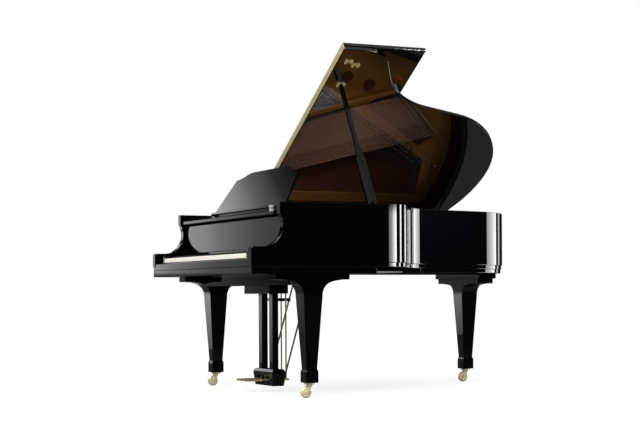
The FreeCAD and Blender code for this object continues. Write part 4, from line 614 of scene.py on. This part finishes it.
class PIANO_OT_front(bpy.types.Operator):
    """Fallboard, music shelf with its knob, music desk and its props"""
    bl_idname = "piano.front"
    bl_label = "Front"

    def execute(self, context):
        lacquered(("fallboard", "music_shelf", "music_desk", "desk_props"), sizes().fine_edge)
        self.dress_shelf()
        self.face_fallboard()
        return {"FINISHED"}

    def dress_shelf(self):
        """Dull lining under the shelf, and the knob on its front edge at the treble."""
        low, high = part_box("music_shelf")
        inset, setback, reach, thick = 2.0 * MM, 4.0 * MM, 200.0 * MM, 0.2 * MM
        lining = block("shelf lining", Vector((low.x + inset, low.y + setback, low.z - thick)),
                       Vector((high.x - inset, low.y + reach, low.z)), "rubber")
        settle(lining, "shelf", "felt")
        profile = ((0.0, 0.0), (12.5, 0.0), (12.5, 4.0), (10.5, 6.0), (10.5, 18.0), (12.5, 21.0),
                   (12.5, 28.0), (10.0, 31.0), (0.0, 31.0))
        from_middle, from_edge, foot = 600.0 * MM, 13.0 * MM, 14.0 * MM
        place = Matrix.Translation((from_middle, low.y + from_edge, low.z + foot))
        facets = 24
        net = lathe_net([(radius * MM, height * MM) for radius, height in profile], facets, place)
        settle(from_net("shelf knob", net, finish("nickel")), "shelf", "steel")

    def face_fallboard(self):
        """Flat facing that carries the fallboard's face down in front of its rolled foot."""
        low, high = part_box("fallboard")
        rail_low, rail_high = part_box("name_rail")
        half = high.x - 8.0 * MM
        foot = rail_high.z + 9.0 * MM
        head = high.z - 5.0 * MM
        foot_front = low.y + 0.9 * MM
        head_front = low.y - 1.7 * MM
        back = foot_front + 9.0 * MM
        chamfer, fillet, roll = 1.0 * MM, 1.5 * MM, 5.0 * MM
        outline = [(foot_front, foot + chamfer), (foot_front + chamfer, foot), (back, foot),
                   (back, head), (head_front + roll, head),
                   (head_front + fillet, head - fillet), (head_front, head - roll)]
        facing = from_net("fallboard facing", prism_net(outline, -half, half), finish("lacquer"),
                          FACING_SMOOTH_TO)
        settle(facing, "fallboard", "polished_black")
        inset, depth, height = 6.0 * MM, 10.0 * MM, 8.0 * MM
        cap = block("name rail cap", Vector((inset - half, rail_low.y, rail_high.z)),
                    Vector((half - inset, rail_low.y + depth, rail_high.z + height)), "lacquer")
        settle(cap, "case", "polished_black")


class PIANO_OT_keyboard(bpy.types.Operator):
    """White naturals and black sharps"""
    bl_idname = "piano.keyboard"
    bl_label = "Keyboard"

    def execute(self, context):
        edge = sizes().fine_edge
        rounded_copy("natural keys", ["natural_keys"], "ivory", "key_white", edge)
        rounded_copy("sharp keys", ["sharp_keys"], "ebony", "key_black", 1.5 * edge)
        return {"FINISHED"}


class PIANO_OT_action(bpy.types.Operator):
    """Hammers with felt heads, and dampers over the strings"""
    bl_idname = "piano.action"
    bl_label = "Action"

    def execute(self, context):
        for row in ("natural_hammers", "sharp_hammers"):
            self.make_hammers(row)
        self.make_dampers()
        return {"FINISHED"}

    def make_hammers(self, row):
        """Wooden shanks and mouldings under crowned felts, hung from the top of each head."""
        heads = [corners_of(points) for points in solids_of(row)]
        low, high = heads[0]
        width, reach, drop = high - low
        crown_radius = 9.0 * MM
        shank_height = 6.0 * MM
        moulding_depth = 8.0 * MM
        moulding_top = 14.0 * MM
        cheek_depth, cheek_height, cheek_middle = 15.0 * MM, 14.0 * MM, 17.0 * MM
        places = [((a.x + b.x) / 2.0, b.y - crown_radius, b.z) for a, b in heads]
        label = row.replace("_", " ")
        shank = stud("shank", 0, 0.6 * width, reach, shank_height,
                     (0.0, crown_radius - reach / 2.0, shank_height / 2.0 - drop))
        moulding = stud("moulding", 0, 0.9 * width, moulding_depth, drop - moulding_top,
                        (0.0, 0.0, -(drop + moulding_top) / 2.0))
        settle(studs(label, places, [shank, moulding], finish("maple"), False), row, "maple", row)
        crown = stud("crown", 12, crown_radius, crown_radius, width, (0.0, 0.0, -crown_radius),
                     (0.0, math.pi / 2.0, 0.0))
        cheek = stud("cheek", 0, width, cheek_depth, cheek_height, (0.0, 0.0, -cheek_middle))
        settle(studs(label + " felt", places, [crown, cheek], finish("felt")), row, "felt")

    def make_dampers(self):
        """Black heads on felts, carried by wires from the tray under the strings."""
        heads = []
        stems = []
        wire_width, tray_width = 4.0 * MM, 100.0 * MM
        for points in solids_of("dampers"):
            low, high = corners_of(points)
            if high.x - low.x > tray_width:
                tray = (low, high)
            elif high.x - low.x < wire_width:
                stems.append((low, high))
            else:
                heads.append((low, high))
        felt = sizes().felt_thickness
        span = heads[0][1] - heads[0][0]
        places = [foot_of(*pair) for pair in heads]
        corner = 0.5 ** 0.5  # radius of a square of side 1
        taper = 0.6
        head = stud("block", 4, corner, taper * corner, span.z - felt, (0.0, 0.0, felt),
                    (0.0, 0.0, math.pi / 4.0), (span.x, span.y, 1.0))
        settle(studs("damper heads", places, [head], finish("lacquer"), False), "dampers",
               "polished_black", "dampers")
        pad = stud("pad", 0, span.x, span.y, felt, (0.0, 0.0, felt / 2.0))
        settle(studs("damper felts", places, [pad], finish("felt"), False), "dampers", "felt")
        runs = []
        for low, high in stems:
            x, y, foot = foot_of(low, high)
            runs.append(([(x, y, foot), (x, y, high.z + felt)], sizes().damper_wire))
        settle(wires("damper wires", runs, finish("steel"), 6), "dampers", "steel")
        settle(block("damper tray", *tray, "maple"), "dampers", "maple")


class PIANO_OT_strings(bpy.types.Operator):
    """Cast plate, bridges, strings and every pin that holds them"""
    bl_idname = "piano.strings"
    bl_label = "Plate and strings"

    def execute(self, context):
        size = sizes()
        rounded_copy("bronzed iron plate", ["iron_plate"], "bronze", "iron_bronze", size.plate_edge,
                     CAST_SMOOTH_TO)
        rounded_copy("graphited bridges", ["bridges"], "graphite", "maple", size.bridge_edge)
        self.string_piano(size)
        self.make_agraffes()
        return {"FINISHED"}

    def unison(self, row, number, points, a, along):
        """Radius of a note's strings and how far each lies beside the middle of the note."""
        if row == "plain_strings":
            step = sizes().unison_step
            return sizes().plain_gauge, (-step, 0.0, step)
        radius = max((p - a - along * (p - a).dot(along)).length for p in points)
        single_notes = 8  # the lowest notes have one string, the other wound ones two
        if number < single_notes:
            return radius, (0.0,)
        step = 0.8 * sizes().unison_step
        return 0.8 * radius, (-step, step)

    def string_piano(self, size):
        """Strings of each note with their tuning pins, hitch pins and bridge pins."""
        net = merged_net(["bridges"])
        bridges = BVHTree.FromBMesh(net)
        net.free()
        pin_foot, pin_head = (corner.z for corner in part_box("tuning_pins"))
        first_pin, pin_step, past_end, hitch_sink = 6.5 * MM, 10.0 * MM, 4.0 * MM, 12.0 * MM
        samples, first_sample, bridge_reach = 200, 60, 4.0 * MM
        rows = {"wound_strings": [], "plain_strings": []}
        tuning = []
        hitches = []
        bridge_pins = []
        for row, runs in rows.items():
            for number, points in enumerate(solids_of(row)):
                points.sort(key=lambda p: p.y)
                half = len(points) // 2
                a = sum(points[:half], Vector()) / half
                b = sum(points[half:], Vector()) / half
                along = (b - a).normalized()
                side = Vector((along.y, -along.x, 0.0)).normalized()
                radius, offsets = self.unison(row, number, points, a, along)
                for k, offset in enumerate(offsets):
                    start = a + side * offset - along * (first_pin + pin_step * k)
                    end = b + side * offset + along * past_end
                    runs.append(([start, end], radius))
                    tuning.append((start.x, start.y, pin_foot))
                    hitches.append((end.x, end.y, end.z - hitch_sink))
                    hits = []
                    for share in range(first_sample, samples):
                        point = start.lerp(end, share / samples)
                        hit = bridges.ray_cast(point, DOWN, bridge_reach)[0]
                        if hit is not None:
                            hits.append(hit)
                    beside = side * 1.5 * radius
                    bridge_pins.extend(hit + beside for hit in hits[:1] + hits[-1:])
        settle(wires("wound bass strings", rows["wound_strings"], finish("copper"), size.string_sides + 1),
               "case", "copper", "wound_strings")
        settle(wires("plain steel strings", rows["plain_strings"], finish("steel"), size.string_sides),
               "case", "steel", "plain_strings")
        tall = pin_head - pin_foot
        r = size.pin_radius
        coil_radius, coil_height, coil_drop = 1.35 * r, 6.0 * MM, 24.0 * MM
        shank = stud("pin", 8, r, 0.9 * r, tall)
        coil = stud("coil", 8, coil_radius, coil_radius, coil_height, (0.0, 0.0, tall - coil_drop))
        settle(studs("tuning pins", tuning, [shank, coil], finish("pin")), "case", "steel", "tuning_pins")
        for name, places, sides, radius, height in (
                ("hitch pins", hitches, 6, size.hitch_radius, 16.0 * MM),
                ("bridge pins", bridge_pins, 5, size.bridge_pin_radius, 4.0 * MM)):
            settle(studs(name, places, [stud("pin", sides, radius, radius, height)], finish("pin")),
                   "case", "steel")

    def make_agraffes(self):
        """Turned brass studs that the strings start from."""
        posts = [corners_of(points) for points in solids_of("agraffes")]
        tall = posts[0][1].z - posts[0][0].z
        foot, neck, collar, crown = 4.2 * MM, 3.4 * MM, 4.6 * MM, 3.6 * MM
        head_height, sunk = 5.0 * MM, 1.5 * MM
        stem = stud("stem", 6, foot, neck, tall)
        head = stud("head", 8, collar, crown, head_height, (0.0, 0.0, tall - sunk))
        places = [foot_of(*pair) for pair in posts]
        settle(studs("agraffes", places, [stem, head], finish("brass")), "case", "brass", "agraffes")


class PIANO_OT_stand(bpy.types.Operator):
    """Three legs on brass casters"""
    bl_idname = "piano.stand"
    bl_label = "Legs and casters"

    def execute(self, context):
        size = sizes()
        # The casters take the brass that is paled as painted reflection
        for place in ("bass", "treble", "tail"):
            for kind, node, material, slot, edge, smooth_to in (
                    (" leg", "leg_", "lacquer", "polished_black", size.case_edge, LEG_SMOOTH_TO),
                    (" caster fork", "caster_fork_", "painted_light_brass", "brass", size.fine_edge,
                     BRASS_SMOOTH_TO),
                    (" caster wheel", "caster_wheel_", "painted_light_brass", "brass", 0.0, BRASS_SMOOTH_TO)):
                rounded_copy(place + kind, [node + place], material, slot, edge, smooth_to)
        return {"FINISHED"}


class PIANO_OT_lyre(bpy.types.Operator):
    """Lyre with its pedal box, brass pedals, rods and braces"""
    bl_idname = "piano.lyre"
    bl_label = "Lyre"

    def execute(self, context):
        lacquered(("lyre_frame", "pedal_box"), sizes().case_edge)
        rounded_copy("lyre braces", ["lyre_braces"], "dark_steel", "steel", 0.0)
        rod_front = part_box("damper_rod")[0].y
        reach, level, height = 140.0 * MM, 488.0 * MM, 17.0 * MM
        depth, gap = 18.0 * MM, 2.0 * MM
        bar = block("rod guide bar", Vector((-reach, rod_front - gap - depth, level)),
                    Vector((reach, rod_front - gap, level + height)), "lacquer")
        settle(bar, "case", "polished_black")
        # The pedals take the brass that is darkened as painted shade
        for name in ("soft", "sostenuto", "damper"):
            rounded_copy(name + " pedal", [name + "_pedal"], "painted_dark_brass", "brass", sizes().pedal_edge,
                         BRASS_SMOOTH_TO)
            rounded_copy(name + " pedal rod", [name + "_rod"], "dark_steel", "brass", 0.0)
        return {"FINISHED"}


class PIANO_OT_stage(bpy.types.Operator):
    """Pale floor, soft studio light, white background and the camera"""
    bl_idname = "piano.stage"
    bl_label = "Stage"

    def execute(self, context):
        scene = context.scene
        scene.view_settings.view_transform = "Standard"
        self.make_floor()
        self.make_world(scene)
        self.make_lights()
        self.make_screens()
        self.make_camera(scene)
        return {"FINISHED"}

    def make_floor(self):
        """Nearly white floor that keeps the shadow; polished faces see only a dim painted reflection of
        it, fading towards +X.
        """
        net = bmesh.new()
        bmesh.ops.create_grid(net, x_segments=1, y_segments=1, size=60.0)
        material, tree, surface = plain_finish("pale studio floor", colours().floor, 0.9,
                                               Specular_IOR_Level=0.0)
        path = add_node(tree, "ShaderNodeLightPath")
        seen = add_node(tree, "ShaderNodeMath", {"operation": "MAXIMUM"},
                        links={0: path.outputs["Is Camera Ray"], 1: path.outputs["Is Transmission Ray"]})
        own_glow = 0.8
        bright = add_node(tree, "ShaderNodeMath", {"operation": "MULTIPLY"}, {1: own_glow},
                          {0: seen.outputs["Value"]})
        light = add_node(tree, "ShaderNodeEmission", links={"Strength": bright.outputs["Value"]})
        both = add_node(tree, "ShaderNodeAddShader",
                        links={0: surface.outputs["BSDF"], 1: light.outputs["Emission"]})
        place = add_node(tree, "ShaderNodeTexCoord")
        parts = add_node(tree, "ShaderNodeSeparateXYZ", links={"Vector": place.outputs["Object"]})
        # Painted reflection: polished faces see the floor as a glow of 0.1 at x = 0.2 m, fading to 0.03 at
        # x = 1 m, not as it is lit
        mirrored = add_node(tree, "ShaderNodeMapRange",
                            values={"From Min": 0.2, "From Max": 1.0, "To Min": 0.1, "To Max": 0.03},
                            links={"Value": parts.outputs["X"]})
        dim = add_node(tree, "ShaderNodeEmission", links={"Strength": mirrored.outputs["Result"]})
        either = add_node(tree, "ShaderNodeMixShader",
                          links={0: path.outputs["Is Glossy Ray"], 1: both.outputs["Shader"],
                                 2: dim.outputs["Emission"]})
        tree.links.new(either.outputs["Shader"], tree.nodes["Material Output"].inputs["Surface"])
        from_net("studio floor", net, material)

    def make_world(self, scene):
        """White to the eye; polished faces mirror it almost black, and grey only overhead."""
        world = bpy.data.worlds.new("studio surround")
        world.use_nodes = True
        scene.world = world
        tree = world.node_tree
        tree.nodes.clear()
        path = add_node(tree, "ShaderNodeLightPath")
        place = add_node(tree, "ShaderNodeTexCoord")
        parts = add_node(tree, "ShaderNodeSeparateXYZ", links={"Vector": place.outputs["Generated"]})
        overhead = add_node(tree, "ShaderNodeMapRange", {"interpolation_type": "SMOOTHSTEP"},
                            {"From Min": 0.45, "From Max": 0.95, "To Min": 0.012, "To Max": 0.3},
                            {"Value": parts.outputs["Z"]})
        soft_fill = 0.75
        fill = add_node(tree, "ShaderNodeMix", {"data_type": "FLOAT"}, {2: soft_fill},
                        {0: path.outputs["Is Glossy Ray"], 3: overhead.outputs["Result"]})
        direct = add_node(tree, "ShaderNodeMath", {"operation": "MAXIMUM"},
                          links={0: path.outputs["Is Camera Ray"], 1: path.outputs["Is Transmission Ray"]})
        white = 1.0
        level = add_node(tree, "ShaderNodeMix", {"data_type": "FLOAT"}, {3: white},
                         {0: direct.outputs["Value"], 2: fill.outputs[0]})
        glow = add_node(tree, "ShaderNodeBackground", values={"Color": (1.0, 1.0, 1.0, 1.0)},
                        links={"Strength": level.outputs[0]})
        add_node(tree, "ShaderNodeOutputWorld", links={"Surface": glow.outputs["Background"]})

    def hang(self, lamp, place, target):
        """Lamp at a place, turned to a target."""
        obj = bpy.data.objects.new(lamp.name, lamp)
        obj.location = place
        obj.rotation_euler = (Vector(target) - Vector(place)).to_track_quat("-Z", "Y").to_euler()
        bpy.context.scene.collection.objects.link(obj)
        return obj

    def make_lights(self):
        """A broad soft lamp above the player's side, and one that reaches under the lid to the strings."""
        broad = bpy.data.lights.new("soft overhead lamp", "AREA")
        broad.shape = "RECTANGLE"
        broad.size = 4.0
        broad.size_y = 3.0
        broad.energy = 300.0
        self.hang(broad, (2.6, -2.8, 4.2), (-0.1, 0.0, 0.85))
        spot = bpy.data.lights.new("string lamp", "SPOT")
        spot.energy = 1250.0
        spot.spot_size = math.radians(24.0)
        spot.spot_blend = 1.0
        spot.shadow_soft_size = 0.35
        hung = self.hang(spot, (2.4, 1.3, 2.1), (-0.5, -0.15, 0.87))
        hung.visible_camera = False

    def make_screens(self):
        """White screens that only polished faces mirror, as the studio's light boxes.

        Levels are (height, share of the strength); posts are (x, y, strength).
        """
        upright = ((0.02, 1.0), (1.04, 1.0), (1.12, 0.0))
        for name, posts in (
                ("treble screen", ((2.70, 0.80, 0.8), (2.45, 1.07, 4.0), (2.2, 1.34, 11.0),
                                   (2.0, 1.56, 17.0), (1.87, 1.70, 18.0))),
                ("shoulder screen", ((0.847, 0.337, 11.0), (0.772, 0.357, 11.0))),
                ("tail screen", ((0.276, 1.4, 3.0), (0.23, 1.4, 3.6), (-0.065, 1.4, 6.5))),
                ("corner screen", ((-0.165, 1.4, 1.6), (-0.265, 1.4, 1.6)))):
            self.make_screen(name, upright, posts)
        beyond_spine = -3.0
        shaded = ((0.02, 0.3), (0.06, 0.4), (0.17, 0.55), (0.3, 0.75), (0.45, 1.0), (0.51, 0.95),
                  (0.54, 0.15), (0.668, 0.12), (0.69, 1.0), (1.25, 1.0), (1.45, 0.0))
        spine = ((0.3, 0.0), (-0.5, 1.6), (-1.2, 1.6), (-1.6, 1.5), (-1.8, 1.25), (-1.92, 0.85),
                 (-2.02, 0.68), (-2.2, 0.4), (-2.4, 0.3), (-2.6, 0.22), (-2.75, 0.0))
        faded = ((1.5, 0.0), (1.7, 1.0), (1.85, 0.9), (2.05, 0.55), (2.25, 0.22), (2.45, 0.05),
                 (2.7, 0.0))
        desk = ((-0.6, 0.0), (-0.9, 2.2), (-1.1, 1.95), (-1.32, 1.8), (-1.4, 0.0))
        for name, levels, run in (("spine screen", shaded, spine), ("desk screen", faded, desk)):
            self.make_screen(name, levels, [(beyond_spine, y, strength) for y, strength in run])

    def make_screen(self, name, levels, posts):
        """Upright screen along posts, shaded by levels."""
        material = bpy.data.materials.new(name)
        material.use_nodes = True
        tree = material.node_tree
        tree.nodes.clear()
        strength = add_node(tree, "ShaderNodeAttribute", {"attribute_name": "glow"})
        light = add_node(tree, "ShaderNodeEmission", links={"Strength": strength.outputs["Fac"]})
        add_node(tree, "ShaderNodeOutputMaterial", links={"Surface": light.outputs["Emission"]})
        mesh = bpy.data.meshes.new(name)
        corners = [(x, y, z) for x, y, strength in posts for z, share in levels]
        row = len(levels)
        faces = []
        for k in range(len(posts) - 1):
            for n in range(row - 1):
                first = k * row + n
                faces.append((first, first + row, first + row + 1, first + 1))
        mesh.from_pydata(corners, [], faces)
        glow = mesh.attributes.new("glow", "FLOAT", "POINT")
        shares = [strength * share for x, y, strength in posts for z, share in levels]
        glow.data.foreach_set("value", shares)
        mesh.materials.append(material)
        screen = mesh_object(name, mesh)
        screen.visible_camera = False
        screen.visible_diffuse = False
        screen.visible_shadow = False
        screen.visible_transmission = False

    def make_camera(self, scene):
        """Eye fitted to the photograph: a level view with the frame shifted up and a slight roll."""
        camera = bpy.data.cameras.new("photograph view")
        camera.sensor_width = 36.0
        camera.lens = 91.17
        camera.shift_y = 0.1276
        camera.clip_end = 300.0
        eye = (8.1222, -4.0241, 0.5199)
        bearing = math.radians(65.196)
        roll = math.radians(-0.304)
        look = Vector((-math.sin(bearing), math.cos(bearing), 0.0))
        turn = look.to_track_quat("-Z", "Y").to_matrix().to_4x4()
        obj = bpy.data.objects.new("photograph view", camera)
        obj.matrix_world = Matrix.Translation(eye) @ turn @ Matrix.Rotation(roll, 4, "Z")
        scene.collection.objects.link(obj)
        scene.camera = obj


class PIANO_PT_looks(bpy.types.Panel):
    """Lists the pieces in the order they are built"""
    bl_idname = "PIANO_PT_looks"
    bl_label = "Grand Piano Looks"
    bl_space_type = "VIEW_3D"
    bl_region_type = "UI"
    bl_category = "Piano"

    def draw(self, context):
        for step in steps:
            self.layout.operator(step.bl_idname)
        for group in (context.scene.piano_colours, context.scene.piano_sizes):
            for key in group.__annotations__:
                self.layout.prop(group, key)


steps = (PIANO_OT_case, PIANO_OT_lid, PIANO_OT_props, PIANO_OT_front, PIANO_OT_keyboard, PIANO_OT_action,
         PIANO_OT_strings, PIANO_OT_stand, PIANO_OT_lyre, PIANO_OT_stage)
classes = (PianoColours, PianoSizes) + steps + (PIANO_PT_looks,)


def register():
    for cls in classes:
        bpy.utils.register_class(cls)
    bpy.types.Scene.piano_colours = PointerProperty(type=PianoColours)
    bpy.types.Scene.piano_sizes = PointerProperty(type=PianoSizes)


def unregister():
    del bpy.types.Scene.piano_sizes
    del bpy.types.Scene.piano_colours
    for cls in reversed(classes):
        bpy.utils.unregister_class(cls)


def main():
    register()
    bpy.ops.piano.case()
    bpy.ops.piano.lid()
    bpy.ops.piano.props()
    bpy.ops.piano.front()
    bpy.ops.piano.keyboard()
    bpy.ops.piano.action()
    bpy.ops.piano.strings()
    bpy.ops.piano.stand()
    bpy.ops.piano.lyre()
    bpy.ops.piano.stage()


if __name__ == "__main__":
    main()
